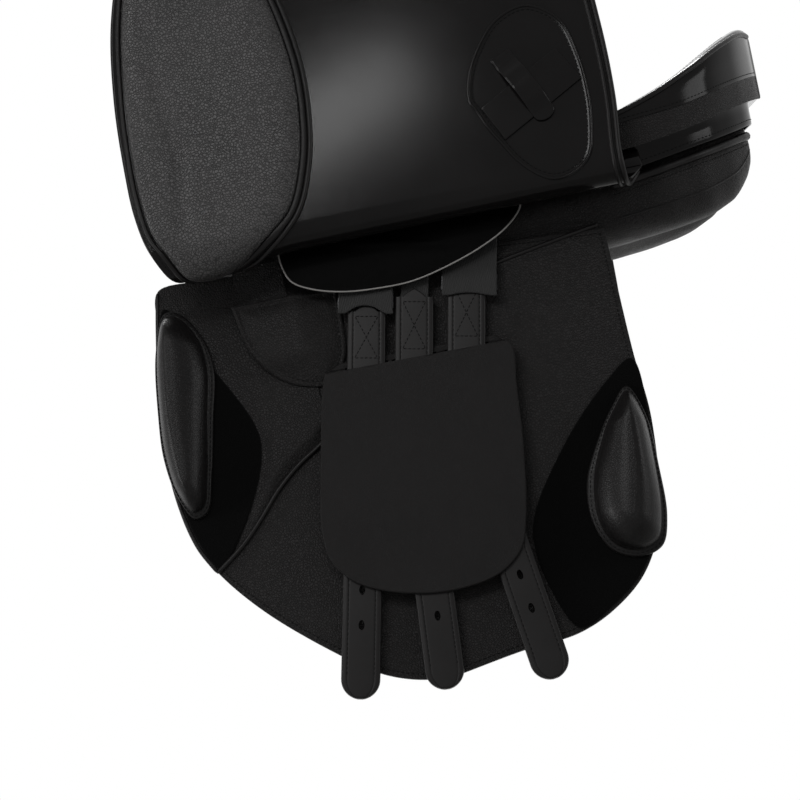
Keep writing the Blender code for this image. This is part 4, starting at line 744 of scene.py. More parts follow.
# %% Sweat flaps
for side_name, side in SIDES:
    lay = on_flare(side)
    outline = even(np.vstack((spline(SWEAT_FRONT)[:-1], spline(SWEAT_REAR))), 2.5 * MM, closed=True)
    spine = np.array(((-120, -20), (-90, -120), (-20, -190), (60, -180), (80, -60), (70, -20))) * MM
    sheet(f"sweat_flap_{side_name}", outline, spine, lay, -SWEAT_LEATHER, SWEAT_LEATHER, grained,
          "saddle", slot="grained_leather")
    sew_on("saddle", lay, inset(outline, 3.5 * MM)[40:-8], 0.1 * MM)

    front = curve(SWEAT_FRONT[1:8], 2 * MM)
    ridge = curve(RIDGE, 2 * MM)
    pad_outline = np.vstack((inset(front, 0.8 * MM, closed=False), ridge[::-1][1:],
                             np.array(((-78, -60), (-80, -20), (-84, 20), (-100, 40), (-150, 44))) * MM))
    pad_outline = even(pad_outline, 2.2 * MM, closed=True)
    loop_line = curve(FRONT_LOOP, 3 * MM, closed=True)

    def padded_front(u, v, depth, ridge=ridge, loop_line=loop_line):
        """Swells to 3.4 mm between the ridge and the loop area, and is flat under what lies on it."""
        flat = np.stack((u, v), axis=-1).reshape(-1, 2)
        to_ridge = distance_to(flat, ridge).reshape(u.shape)
        to_loop = distance_to(flat, loop_line, closed=True)
        to_loop = np.where(inside(flat, loop_line), 0.0, to_loop).reshape(u.shape)
        below = ease((-v - 36 * MM) / (45 * MM))
        return SWELL * ease(to_ridge / (9 * MM)) * ease(to_loop / (12 * MM)) * below

    sheet(f"sweat_flap_front_{side_name}", pad_outline,
          np.array(((-125, 20), (-135, -60), (-135, -110))) * MM, lay, -0.6 * MM, 0.8 * MM, grained,
          "saddle", relief=padded_front, rings=26, slot="grained_leather")
    out = (0.0, side * math.cos(FLARE), math.sin(FLARE))
    piping(f"sweat_flap_piping_{side_name}",
           [tube(laid(lay, ridge, 1.0 * MM), out, 1.7 * MM),
            tube(laid(lay, front, -0.6 * MM), out, 1.6 * MM),
            tube(laid(lay, curve(TOP_SEAM, 2 * MM), 0.2 * MM), out, 1.6 * MM, squash=0.7)])
    sew_on("saddle", lay, ridge + np.array((2.6, 2.6)) * MM,
           lambda u, v: padded_front(u, v, None) + 0.3 * MM)
print("sweat flaps sewn")

# %% [markdown]
# ### Point pocket and loop areas
# The point pocket is a soft cap over the head plate's point, open at its top. Its middle swells, and a
# turned edge with a row of stitches holds it down. The loop areas are thin velvet, which shows no edge.

# %% Pockets and loop areas
POINT_MIDDLE = -106 * MM
POINT_REACH = 20 * MM
POINT_END = -18 * MM
POCKET_FRONT = -134.5 * MM


def pocket_base(u, v):
    """The room that the head plate's point needs: 4.9 mm over it, less beside it and below it."""
    width = np.where(u > POINT_MIDDLE, 24 * MM, 9 * MM)
    beside = ease((np.abs(u - POINT_MIDDLE) - POINT_REACH) / width)
    return CLEAR + 4.7 * MM * (1 - beside) * ease((v - POINT_END + 20 * MM) / (18 * MM))


def pocket_swell(u, v, depth):
    """Swells by 3.2 mm from 4.5 mm inside the edge, and the turned edge stands 0.7 mm proud."""
    middle = 3.2 * MM * (1 - np.exp(-np.maximum(depth - 4.5 * MM, 0) / (7 * MM)))
    return middle + 0.7 * MM * np.exp(-((depth - 1.8 * MM) / (1.1 * MM)) ** 2)


for side_name, side in SIDES:
    lay = on_flare(side)
    line = even(np.vstack((spline(POCKET_OUTLINE), POCKET_OUTLINE[:1] + (12 * MM, 0))), 1.6 * MM,
                closed=True)
    line[:, 0] = np.maximum(line[:, 0], POCKET_FRONT)
    sheet(f"point_pocket_{side_name}", line, np.array(((-100, 6), (-84, -20))) * MM, lay, pocket_base,
          POCKET_LEATHER, grained, "saddle", rings=18, slot="grained_leather", relief=pocket_swell)
    sew_on("saddle", lay, inset(curve(POCKET_OUTLINE, 1.5 * MM), 3.9 * MM, closed=False),
           POCKET_LEATHER + 0.5 * MM)
    for name, points, spine in (("front", FRONT_LOOP, ((-172, 0), (-158, -60), (-162, -120))),
                                ("rear", REAR_LOOP, ((118, -110), (85, -165), (80, -215)))):
        sheet(f"{name}_loop_area_{side_name}", curve(points, 2.2 * MM, closed=True), np.array(spine) * MM,
              lay, CLEAR, LOOP_PILE, pile, "saddle", slot="loop_pile", round_edge=1.0 * MM)
print("pockets and loop areas laid")

# %% [markdown]
# ### Knee and thigh blocks
# A block is a firm foam wedge in a leather cover. Its cover has a flat flange with a row of stitches,
# then rises steeply to a rounded crest. The shape is a set of rings that climb from the flange to a crest
# line, and their height against the share of the way is the block's profile.

# %% Blocks
BLOCK_PROFILE = np.array(((0, 1.2), (0.02, 2.4), (0.05, 3.0), (0.12, 3.1), (0.145, 3.3), (0.165, 5.0),
                          (0.20, 0.36), (0.28, 0.52), (0.36, 0.64), (0.47, 0.77), (0.58, 0.86),
                          (0.72, 0.945), (0.86, 0.988), (1.0, 1.0)))
FLANGE_STEPS = 6
SEAM_ON_FLANGE = 0.075


def block(name, outline, crest, height, side, slot):
    """Rings from the outline towards the crest: flange heights in millimetres, then shares of the height."""
    outline = curve(outline, 1.7 * MM, closed=True)
    rows = BLOCK_PROFILE.copy()
    rows[:FLANGE_STEPS, 1] *= MM
    rows[FLANGE_STEPS:, 1] *= height
    shares = np.concatenate((rows[:FLANGE_STEPS, 0], np.linspace(0.18, 0.99, 26)))
    lift = table(rows, shares)
    target, _ = nearest_on(outline, curve(crest, 1.5 * MM))
    grid = outline[None] + (target - outline)[None] * shares[:, None, None]
    heights = BLOCK_BASE + np.repeat(lift[:, None], len(outline), axis=1)
    low = np.full((1, len(outline)), BLOCK_BASE)
    lay = on_flare(side)
    uu = np.concatenate((grid[::-1, :, 0], outline[None, :, 0]))
    vv = np.concatenate((grid[::-1, :, 1], outline[None, :, 1]))
    hh = np.concatenate((heights[::-1], low))
    made = piece(name, lay(uu, vv, hh).reshape(-1, 3), capped(len(uu), len(outline)), block_leather, name,
                 slot=slot, angle=70)
    flange = outline + (target - outline) * SEAM_ON_FLANGE
    sew_on(name, lay, np.vstack((flange, flange[:1])), BLOCK_BASE + 3.1 * MM)


for side_name, side in SIDES:
    block(f"knee_block_{side_name}", KNEE_OUTLINE, KNEE_CREST, 20 * MM, side, "smooth_leather")
    block(f"thigh_block_{side_name}", THIGH_OUTLINE, THIGH_CREST, 26 * MM, side, "grained_leather")
print("blocks made")

# %% [markdown]
# ## Girth straps, webs and the buckle guard
# A girth strap is two plies of leather, creased along both edges and punched with oval holes. A box of
# stitches with a cross closes its top, and a small tongue lies over the front and middle ones. The
# guard's top strip lies behind the straps and its plate in front, so the straps pass through three slots.
# Holes and slots are cut with a Boolean from simple cutters, as a saddler punches them after the edges
# are finished.

# %% Straps
STRAP_WIDTH = 27 * MM
STRAP_TOPS = np.array(((-34.6, -1.0), (0.0, 0.0), (37.0, -2.5))) * MM
STRAP_STARTS = np.array((2.5, 0.0, -4.0)) * MM
STRAP_BENDS_Z = -92 * MM
STRAP_ENDS = np.array(((-89.3, -251.7), (-31.7, -256.5), (39.7, -264.0))) * MM
STRAP_NAMES = ("front", "middle", "rear")
HOLES = 6
HOLE_PITCH = 24 * MM
FIRST_HOLE = 36.0 * MM
HOLE_HALF_LENGTH = 3.5 * MM
HOLE_HALF_WIDTH = 2.1 * MM
STRAP_MIDDLE = STRAP_BACK + STRAP_LEATHER / 2
TONGUE = np.array(((-9, 3), (-8.5, 0), (-6, -2.5), (0, -6.5), (6, -2.5), (8.5, 0), (9, 3))) * MM
DOWN = np.array((-math.sin(LEAN), -math.cos(LEAN)))
ACROSS = np.array((-DOWN[1], DOWN[0]))
HALF_STRAP = STRAP_WIDTH / 2


def cut(obj, verts, faces):
    """Cuts closed shapes out of a piece with an exact Boolean, applied at once."""
    mesh = bpy.data.meshes.new("cutter")
    mesh.from_pydata(np.asarray(verts).tolist(), [], [tuple(f) for f in faces])
    mend(mesh)
    cutter = bpy.data.objects.new("cutter", mesh)
    bpy.context.scene.collection.objects.link(cutter)
    change = obj.modifiers.new("cut", "BOOLEAN")
    change.operation = "DIFFERENCE"
    change.solver = "EXACT"
    change.object = cutter
    done = bpy.data.meshes.new_from_object(obj.evaluated_get(bpy.context.evaluated_depsgraph_get()))
    obj.modifiers.clear()
    obj.data = done
    bpy.data.objects.remove(cutter)
    done.shade_smooth()
    done.set_sharp_from_angle(angle=math.radians(40))


def prism(loop, lay, low, high):
    """A closed prism over a flat loop, between two heights."""
    return np.vstack((laid(lay, loop, low), laid(lay, loop, high))), capped(2, len(loop))


def strap_line(k):
    """The strap's middle line: parallel to the others as far as the bend, then fanning to its tip."""
    top = STRAP_TOPS[k]
    bend = top + DOWN * (STRAP_BENDS_Z - top[1]) / DOWN[1]
    tip = STRAP_ENDS[k]
    start = top + DOWN * STRAP_STARTS[k]
    soft = spline(np.array((start, top + (bend - top) * 0.5, bend - (bend - top) * 0.2,
                            bend + (tip - bend) * 0.15, bend + (tip - bend) * 0.5, tip)))
    return even(soft, 2 * MM)


def beside(line, across):
    """A line moved sideways: positive is to the rear."""
    t = unit(np.gradient(line, axis=0))
    return line + np.stack((-t[:, 1], t[:, 0]), axis=1) * across


def from_top(line, points):
    """Places given across and down the straps from the line's top end."""
    points = np.asarray(points)
    return line[0] + DOWN * points[:, 1:] + ACROSS * points[:, :1]


STRAP_TOP = np.array(((-1, 0.9), (-0.99, 2.6), (-0.97, 3.3), (-0.93, 3.65), (-0.77, 3.75), (-0.72, 3.72),
                      (-0.69, 3.5), (-0.66, 3.75), (-0.61, 3.8), (-0.55, 3.84), (0, 3.84)))
STRAP_BACK_FACE = np.array(((0.97, 0.15), (0.9, 0), (0.3, 0), (-0.3, 0), (-0.9, 0), (-0.97, 0.15)))
STRAP_SECTION = np.vstack((STRAP_TOP, (STRAP_TOP * (-1, 1))[-2::-1], STRAP_BACK_FACE))


def strap_form(line, lay):
    """The section carried down the line. Over the rounded tip its half width falls as a circle's does."""
    half = HALF_STRAP
    along = unit(np.gradient(line, axis=0))
    a = np.linspace(0, math.pi / 2, 13)[1:]
    centre = np.vstack((line[:1], line, line[-1] + along[-1:] * half * np.sin(a)[:, None]))
    along = np.vstack((along[:1], along, np.repeat(along[-1:], len(a), axis=0)))
    width = np.concatenate((np.full(len(line) + 1, half), half * np.cos(a)))
    across = np.stack((-along[:, 1], along[:, 0]), axis=1)
    place = centre[:, None] + across[:, None] * (width[:, None] * STRAP_SECTION[None, :, 0])[..., None]
    height = np.repeat(STRAP_SECTION[None, :, 1] * MM, len(centre), axis=0)
    height[[0, -1]] = STRAP_LEATHER / 2
    height = height * np.where(width > 0.3 * half, 1.0, 0.9)[:, None]
    return lay(place[..., 0], place[..., 1], STRAP_BACK + height).reshape(-1, 3), len(centre)


for side_name, side in SIDES:
    lay = on_flare(side)
    for k, place in enumerate(STRAP_NAMES):
        line = strap_line(k)
        last = unit(line[-1] - line[-2])
        across = np.array((-last[1], last[0]))
        body = f"girth_{side_name}"
        verts, rows = strap_form(line, lay)
        strap = piece(f"{place}_girth_strap_{side_name}", verts, grid_faces(rows, len(STRAP_SECTION)),
                      strap_leather, body)
        a = circle(14)
        hole = last * HOLE_HALF_LENGTH * a[:, :1] + across * HOLE_HALF_WIDTH * a[:, 1:]
        cutters = [prism(line[-1] - last * (FIRST_HOLE + HOLE_PITCH * i) + hole, lay,
                         STRAP_BACK - 2 * MM, STRAP_FACE + 2 * MM)
                   for i in range(HOLES)]
        cut(strap, *joined(cutters))
        for offset in (-1, 1):
            seam = beside(line, offset * (HALF_STRAP - 4.2 * MM))[4:-1]
            sew_on(body, lay, seam, STRAP_FACE - 0.02 * MM)
        w, top, low = 8.0 * MM, 3.5 * MM, (33 + 4 * (k > 0)) * MM
        for ends in (((-w, top), (w, low)), ((w, top), (-w, low)), ((-w, top), (w, top)),
                     ((-w, low), (w, low))):
            sew_on(body, lay, from_top(line, ends), STRAP_FACE + 0.3 * MM, 3.0 * MM)
        if k < 2:
            tongue = even(from_top(line, TONGUE), 1.2 * MM, closed=True)
            spine = from_top(line, np.array(((-4, 1), (4, 1))) * MM)
            sheet(f"{place}_strap_tongue_{side_name}", tongue, spine, lay, STRAP_MIDDLE + 0.65 * MM,
                  1.0 * MM, strap_leather, body, rings=3, steps=RIM_STEPS[:8])
print("straps punched")

# %% [markdown]
# ### Buckle guard
# The guard is drawn across and down the straps. Between its top strip and its plate it steps from behind
# the straps to in front of them, and the step is where the slots are.

# %% Buckle guard
GUARD_TOP = np.array(((58.0, 25.6), (-54.0, 47.0))) * MM
GUARD_OUTLINE = np.array(((68.2, 33.5), (72.2, 65.0), (76.7, 105.5), (78.3, 154.2), (74.9, 176.0),
                          (60.8, 192.6), (39.8, 202.0), (11.7, 207.0), (-20.0, 205.5), (-42.0, 198.5),
                          (-56.5, 185.0), (-63.0, 164.0), (-64.5, 106.0), (-64.0, 68.0),
                          (-61.2, 53.0))) * MM
GUARD_STRIP = 4 * MM
GUARD_SLOT = 3 * MM


def guard_top(p):
    """How far down the guard's top edge lies: the straight line between its two ends."""
    (p1, q1), (p0, q0) = GUARD_TOP
    return q0 + (q1 - q0) * (p - p0) / (p1 - p0)


def guard_level(p, q):
    """Behind the straps in its strip, in front of them below, and eased between."""
    step = ease((q - guard_top(p) - GUARD_STRIP) / GUARD_SLOT)
    return GUARD_BACK + (GUARD_FRONT - GUARD_BACK) * step


for side_name, side in SIDES:
    flare = on_flare(side)

    def lay(p, q, h, flare=flare):
        """Across and down the straps, turned to x and z and laid on the flare."""
        return flare(*from_strap(p, q), h)

    corner = spline(np.vstack((GUARD_TOP[:1] + (0, 1 * MM), GUARD_OUTLINE, GUARD_TOP[1:] + (0, 1 * MM))))
    ends = np.vstack((GUARD_TOP[1:] + (2 * MM, -0.8 * MM), GUARD_TOP[:1] + (-2 * MM, -0.3 * MM)))
    outline = even(np.vstack((corner, ends)), 1.6 * MM, closed=True)
    guard = sheet(f"buckle_guard_{side_name}", outline, np.array(((3, 100), (5, 140))) * MM, lay,
                  guard_level, GUARD_LEATHER, fine_grained, f"guard_{side_name}", rings=34,
                  slot="grained_leather", round_edge=0.8 * MM)
    cutters = []
    for top in STRAP_TOPS:
        p = to_strap(*top)[0]
        half = HALF_STRAP + 2 * MM
        corners = np.array([(p + a * half, guard_top(p + a * half) + GUARD_STRIP + b * GUARD_SLOT)
                            for a, b in ((-1, 0), (1, 0), (1, 1), (-1, 1))])
        cutters.append(prism(corners, lay, -1 * MM, 22 * MM))
    cut(guard, *joined(cutters))
print("guards hung")

# %% [markdown]
# ### Webs
# The straps hang from nylon webs that come from under the tree's edge. The front and rear webs go round
# the upper wire of a steel slide, so their low edge is arched, and the middle one ends inside its strap.
# A web is a sheet laid along its own fall line, which leaves the tree flat and turns down to the straps.

# %% Webs
WEB_SHIFTS = np.array((-0.8, 0.0, 2.0)) * MM
WEB_LINE = np.array(((100, 70), (110, 69.5), (128, 65.5), (144, 57), (153.5, 41))) * MM
WEB_END = 4.5 * MM
WEB_STEPS = {True: np.array(((-34, 0.0), (-22, 1.4), (-13, 3.6), (-6, 4.0), (0.0, 3.4))) * MM,
             False: np.array(((-28, 0.0), (-18, 0.0), (-9, 0.0), (0.0, 0.0))) * MM}
WEB_ARCH = np.array((6.0, 0.0, 2.0)) * MM
for side_name, side in SIDES:
    for k, place in enumerate(STRAP_NAMES):
        p, q = to_strap(*STRAP_TOPS[k])
        p += WEB_SHIFTS[k]
        half = (10 if k == 1 else 19.5) * MM
        wide = k != 1
        end_x, end_z = from_strap(p, q + WEB_END)
        path = [on_flare(1)(0.0, end_z - down, STRAP_MIDDLE + lift)[1:] for down, lift in WEB_STEPS[wide]]
        line = even(spline(np.vstack((WEB_LINE, path))), 2 * MM)
        total = np.linalg.norm(np.diff(line, axis=0), axis=1).sum()
        lay_web = on_line(side, line)
        slant = math.tan(LEAN)

        def lay(u, v, h, lay_web=lay_web, total=total, slant=slant):
            """The web leans with its strap over its last 60 mm."""
            back = np.clip(total - v, 0, 62 * MM)
            return lay_web(u + back * slant, v, h)

        first = 4 * MM
        end = total
        if wide:
            arch = np.linspace(1, -1, 17)
            low = end - WEB_ARCH[k] * np.clip(1 - (arch / 0.72) ** 2, 0, 1)
            low_edge = np.stack((end_x + half * arch, low), axis=1)
        else:
            low_edge = np.array(((end_x + half, end), (end_x - half, end)))
        outline = np.vstack(((end_x - half, first), (end_x + half, first), low_edge))
        tilt = np.where(outline[:, 1] > 0.5 * total, (outline[:, 0] - end_x) * slant, 0.0)
        outline[:, 1] += tilt
        outline = even(outline, 1.5 * MM, closed=True)
        spine = np.array(((end_x, first + 12 * MM), (end_x, end - 14 * MM)))
        sheet(f"{place}_web_{side_name}", outline, spine, lay, -0.6 * MM, 1.2 * MM, nylon, "saddle",
              rings=3, slot="nylon_webbing", steps=RIM_STEPS[:9])
print("webs laid")


# %% [markdown]
# ## The flaps
# A flap hangs from the tree by a fold. The near one is lifted 172 degrees about the fold, so its sheet is
# drawn in one piece with the fold's arc, and it bends there between the saddle and the flap. Its
# underside, which faces us, carries the padded lining, the shield-shaped patch with its band and the
# keeper. All of them are laid by one rule, so that they follow the flap wherever it bends or droops.

# %% Flap outlines, down from the fold
FLAP_FRONT = np.array(((-160, 0), (-174, 18), (-182, 58), (-180, 115), (-171, 175), (-150, 235),
                       (-115, 288), (-65, 324), (-10, 338))) * MM
FLAP_REAR = np.array(((-10, 338), (50, 333), (104, 306), (142, 258), (160, 190), (166, 100),
                      (166, 0))) * MM
FOLDED_FRONT = np.array(((-149, -39), (-150, -33), (-156, -26), (-167, -15), (-176, 2), (-181, 28),
                         (-182, 58), (-180, 115), (-171, 175), (-150, 235), (-115, 288), (-65, 324),
                         (-10, 338))) * MM
FOLDED_REAR = np.array(((-10, 338), (50, 333), (104, 306), (142, 258), (161, 190), (167, 100), (166, 45),
                        (162, 6), (162, -8), (164, -20), (169, -31), (176, -38.7))) * MM
FOLDED_PAD = np.array(((-170.5, 10), (-174.5, 40), (-174.5, 75), (-172, 115), (-163.5, 173), (-146, 225),
                       (-122, 250), (-92, 235), (-66, 185), (-53, 120), (-54, 75), (-61, 40), (-75, 9),
                       (-98, -8), (-117, -18), (-136, -22), (-152, -18), (-163, -4))) * MM
PAD_OUTLINE = np.array(((-170, 20), (-177.5, 58), (-175.5, 115), (-166.5, 173), (-148, 225), (-122, 250),
                        (-92, 235), (-66, 185), (-54, 120), (-60, 70), (-85, 22), (-125, 8.5),
                        (-155, 8.5))) * MM
PAD_CREST = np.array(((-122, 50), (-116, 120), (-118, 185), (-124, 215))) * MM
PAD_PROFILE = np.array(((0, 2.0), (0.02, 3.4), (0.06, 4.8), (0.14, 5.8), (0.26, 6.4), (0.4, 6.6),
                        (0.6, 6.5), (0.86, 6.3), (1.0, 6.2))) * (1, MM)
PATCH = np.array(((65.8, 61.8), (69.3, 54.1), (74.9, 39.9), (82.2, 26.6), (88.5, 15.2), (95.3, 6.4),
                  (102.5, -0.2), (110.3, -4), (118.7, -4.6), (127.7, -2.5), (135.7, 2.3), (140.8, 10),
                  (144, 22.4), (147.2, 44.7), (146, 80), (138, 108), (118, 122), (96, 116), (78, 96),
                  (68, 76))) * MM
REAR_PIPE_START = np.array((142, 258)) * MM
VENTS = np.array(((-127.4, 77.4), (-132.6, 18.9))) * MM
BAND_TURN = math.radians(28.5)
KEEPER_TURN = math.radians(115.0)
KEEPER_CENTRE = np.array((105.0, 64.0)) * MM
BAND_CENTRE = np.array((106.5, 57.0)) * MM
ARC = FOLD_RADIUS * math.radians(FLAP_UP_DEG - FLAP_DOWN_DEG)
UNDER = FLAP_LEATHER / 2
DROOP = 6 * MM
PAD_LEATHER = 1.6 * MM


def flap_fall(up):
    """The lifted flap's line is the fold's arc and then straight; the hanging one's is straight."""
    if not up:
        return flap_line(FLAP_DOWN_DEG)
    a = np.radians(np.linspace(FLAP_DOWN_DEG - 90, FLAP_UP_DEG - 90, 49))[:, None]
    arc = np.array(FOLD_CENTRE) + FOLD_RADIUS * np.hstack((np.cos(a), np.sin(a)))
    return np.vstack((arc, flap_line(FLAP_UP_DEG, steps=13)[1:]))


def over_fold(obj):
    """Writes a piece of the near flap's placement into its points, and leaves it on no body."""
    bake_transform(obj)


def turned(points, centre, angle):
    """Points given along and across a strap, turned and moved to its centre."""
    x, y = np.asarray(points).T
    c, s = math.cos(angle), math.sin(angle)
    return centre + np.stack((x * c - y * s, x * s + y * c), axis=1)


# %% Flaps with their linings, patches and keepers
for side_name, side in SIDES:
    up = side_name == "near"
    body = f"flap_{side_name}"
    rule = on_line(side, flap_fall(up))
    shift = ARC if up else 0.0

    def droop(u, v, up=up):
        """The fold hangs up to 6 mm lower at the front, where the pad's weight pulls it."""
        share = ease((-70 * MM - u) / (70 * MM)) * np.exp(-((v + 22 * MM) / (11 * MM)) ** 2)
        return (DROOP if up else 0.0) * share

    def top_side(u, v, h, rule=rule, shift=shift):
        """Heights on the flap's outer side, less its droop."""
        return rule(u, v + shift, h - droop(u, v))

    def under_side(u, v, h, rule=rule, shift=shift):
        """Heights on the flap's underside, plus its droop."""
        return rule(u, v + shift, -h - droop(u, v))

    front_line = spline(FOLDED_FRONT if up else FLAP_FRONT)
    edge = np.vstack((front_line[:-1], spline(FOLDED_REAR if up else FLAP_REAR)))
    start = CLEAR - shift
    outline = even(edge, 2.4 * MM, closed=True)
    spine = np.array(((-6 * MM, start + 60 * MM), (-6 * MM, 190 * MM)))
    nodes = ["flap_near", "flap_fold_near"] if up else ["flap_off"]
    sewn_body = "flap_fold_near" if up else body

    def edge_crease(u, v, depth, shift=shift):
        """A turned edge 7 mm wide stands 0.35 mm proud, except at the fold."""
        off_fold = ease((v + shift - 4 * MM) / (8 * MM))
        return 0.35 * MM * (1 - ease((depth - 6.0 * MM) / (1.2 * MM))) * off_fold

    flap = sheet(body, outline, spine, under_side, -UNDER, FLAP_LEATHER, smooth, None, nodes,
                 relief=edge_crease, rings=34 if up else 16, round_edge=1.2 * MM)

    def bends(obj, body=body, up=up):
        """The near flap's pieces keep their placement on no body; the off flap's hang with it."""
        if up:
            over_fold(obj)
        else:
            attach(obj, body)

    bends(flap)
    rim = inset(even(edge, 1.5 * MM), -3.6 * MM, closed=False)[3:-6]
    sew_on(sewn_body, under_side, rim, UNDER + 0.45 * MM)
    sew_on(sewn_body, top_side, rim, UNDER + 0.1 * MM)

    crest = curve(PAD_CREST, 2 * MM)
    pad_line = curve(FOLDED_PAD if up else PAD_OUTLINE, 2 * MM, closed=True)

    def pad_height(u, v, depth, crest=crest, lower=0.0 if up else 0.9 * MM):
        """Height by the share of the way from the edge to the crest, with a soft upright hollow in front."""
        flat = np.stack((u, v), axis=-1).reshape(-1, 2)
        to_crest = distance_to(flat, crest).reshape(np.shape(u))
        share = depth / (depth + to_crest + 1e-9)
        bow = -148 * MM + 6 * MM * np.exp(-((v - 62 * MM) / (30 * MM)) ** 2)
        near_fold = np.exp(-((v - 55 * MM) / (70 * MM)) ** 2)
        fades = ease((depth - 5 * MM) / (8 * MM)) * (0.3 + 0.7 * near_fold)
        hollow = 1.3 * MM * np.exp(-((u - bow) / (6.5 * MM)) ** 2) * fades
        rounded = 2.0 * MM * ease((-v - 1 * MM) / (20 * MM)) * ease((depth - 1 * MM) / (9 * MM))
        return table(PAD_PROFILE, share) - PAD_LEATHER - hollow - lower * share + rounded

    # The lining's lighter grey is a painted highlight on the pad that faces the lamp.
    pad = sheet(f"flap_pad_{side_name}", pad_line, crest[::6], under_side, UNDER + CLEAR, PAD_LEATHER,
                lining, None, relief=pad_height, rings=30, slot="grained_leather")
    bends(pad)
    low_point = FOLDED_PAD[15] if up else PAD_OUTLINE[11]
    inner = part_of(pad_line, PAD_OUTLINE[5], low_point)
    front_edge = part_of(pad_line, low_point, PAD_OUTLINE[5])
    tubes = []
    for path, offset, lift, radius, flat in ((inner, 2.5, 0.7, 2.7, 0.5), (inner, 6.9, 0.9, 1.9, 1.0),
                                             (front_edge, 2.4, 0.8, 1.8, 1.0)):
        line = even(inset(path, offset * MM, closed=False), 1.6 * MM)
        tubes.append(tube(laid(under_side, line, UNDER + lift * MM), outward(under_side, line),
                          radius * MM, squash=flat))
    rear = even(edge, 1.6 * MM)
    rear = rear[int(np.linalg.norm(rear - REAR_PIPE_START, axis=1).argmin()):-1]
    for offset, radius in ((1.6 * MM, 1.9 * MM), (6.4 * MM, 1.5 * MM)):
        line = inset(rear, -offset, closed=False)
        tubes.append(tube(laid(under_side, line, UNDER + 0.7 * MM), outward(under_side, rear), radius))
    bends(piping(f"flap_piping_{side_name}", tubes, None))
    for offset in (0.5 * MM, 4.6 * MM):
        sew_on(sewn_body, under_side, inset(inner, offset, closed=False)[2:-2], UNDER + 1.7 * MM)
    if up:
        for spot in VENTS:
            ring = spot + circle(16, 1.2 * MM)
            depth = distance_to(ring, pad_line, closed=True)
            top = UNDER + CLEAR + PAD_LEATHER + pad_height(ring[:, 0], ring[:, 1], depth)
            eyelet = tube(laid(under_side, ring, top), outward(under_side, ring), 0.4 * MM, sides=6,
                          closed=True)
            name = f"vent_eyelet_{int(round(spot[1] / MM))}"
            bends(piece(name, *eyelet, dark_steel, None, slot="stainless_steel"))

    def below_fold(line, least, up=up):
        """Keeps the off flap's line clear of its fold, which starts higher than the near flap's."""
        return line if up else np.maximum(line, (-1, least))

    patch = curve(PATCH, 1.6 * MM, closed=True)
    bends(sheet(f"flap_patch_{side_name}", below_fold(patch, 3 * MM),
                np.array(((108, 30), (108, 85))) * MM, under_side, UNDER + 0.05 * MM, 0.5 * MM, smooth,
                None, rings=10, relief=lambda u, v, d: -0.3 * MM * ease(d / (3 * MM))))
    line = below_fold(inset(patch, -0.5 * MM), 3 * MM)
    bead = tube(laid(under_side, line, UNDER + 0.35 * MM), outward(under_side, line), 1.1 * MM,
                closed=True)
    bends(piping(f"flap_patch_bead_{side_name}", [bead], None, smooth))
    sewn = inset(patch, 2.3 * MM)
    sew_on(sewn_body, under_side, below_fold(np.vstack((sewn, sewn[:1])), 5 * MM), UNDER + 0.5 * MM)
    along = np.linspace(-37, 37, 40)[:, None] * MM
    edges = [np.hstack((a, a * 0 + offset))
             for a, offset in ((along, -14.5 * MM), (along[::-1], 14.5 * MM))]
    band = turned(np.vstack(edges), BAND_CENTRE, BAND_TURN)
    band = even(band[inside(band, inset(patch, 1.5 * MM))], 1.5 * MM, closed=True)
    spine = turned(np.array(((-15, 0), (15, 0))) * MM, BAND_CENTRE, BAND_TURN)
    sheet(f"flap_band_{side_name}", band, spine, under_side, UNDER + 0.6 * MM, 1.4 * MM, smooth, body,
          rings=4)
    half = 29 * MM
    rise = np.array(((0, 0), (7, 0), (12, 1.5), (18, 4.2), (29, 5.2), (40, 4.2), (46, 1.5), (51, 0),
                     (58, 0))) * MM
    rise[:, 0] -= half
    a = np.linspace(-math.pi / 2, math.pi / 2, 15)[1:-1]
    strip = np.vstack((np.array(((-half, -8), (half - 6 * MM, -8))) * (1, MM),
                       np.stack((half - 6 * MM + 6 * MM * np.cos(a), 8 * MM * np.sin(a)), axis=1),
                       np.array(((half - 6 * MM, 8), (-half, 8))) * (1, MM)))
    strip = even(strip, 1.2 * MM, closed=True)
    flat_strip = turned(strip * (-1, 1), KEEPER_CENTRE, KEEPER_TURN)

    def keeper_base(u, v, rise=rise):
        """The keeper lies flat at both sewn ends and arches over the band between."""
        c, s = math.cos(KEEPER_TURN), math.sin(KEEPER_TURN)
        length = -((u - KEEPER_CENTRE[0]) * c + (v - KEEPER_CENTRE[1]) * s)
        return UNDER + 0.6 * MM + table(rise, length)

    spine = turned(np.array(((-24, 0), (24, 0))) * MM, KEEPER_CENTRE, KEEPER_TURN)
    sheet(f"keeper_{side_name}", flat_strip, spine, under_side, keeper_base, 2.0 * MM, smooth, body,
          rings=4, round_edge=0.8 * MM, steps=RIM_STEPS[:8])
print("flaps made, the fold's arc is", round(ARC, 4), "m long")

# %% [markdown]
# ## Skirts, safes and the flaps' fixed layer
# The skirt is sewn to the seat's welt and covers the stirrup bar. The safe is a thin half-round cover of
# glazed leather over the webs, painted darker as painted shade under the lifted flap, and its cut edge is
# a light grey. The flap's fixed layer runs out from the tree and down to the fold.

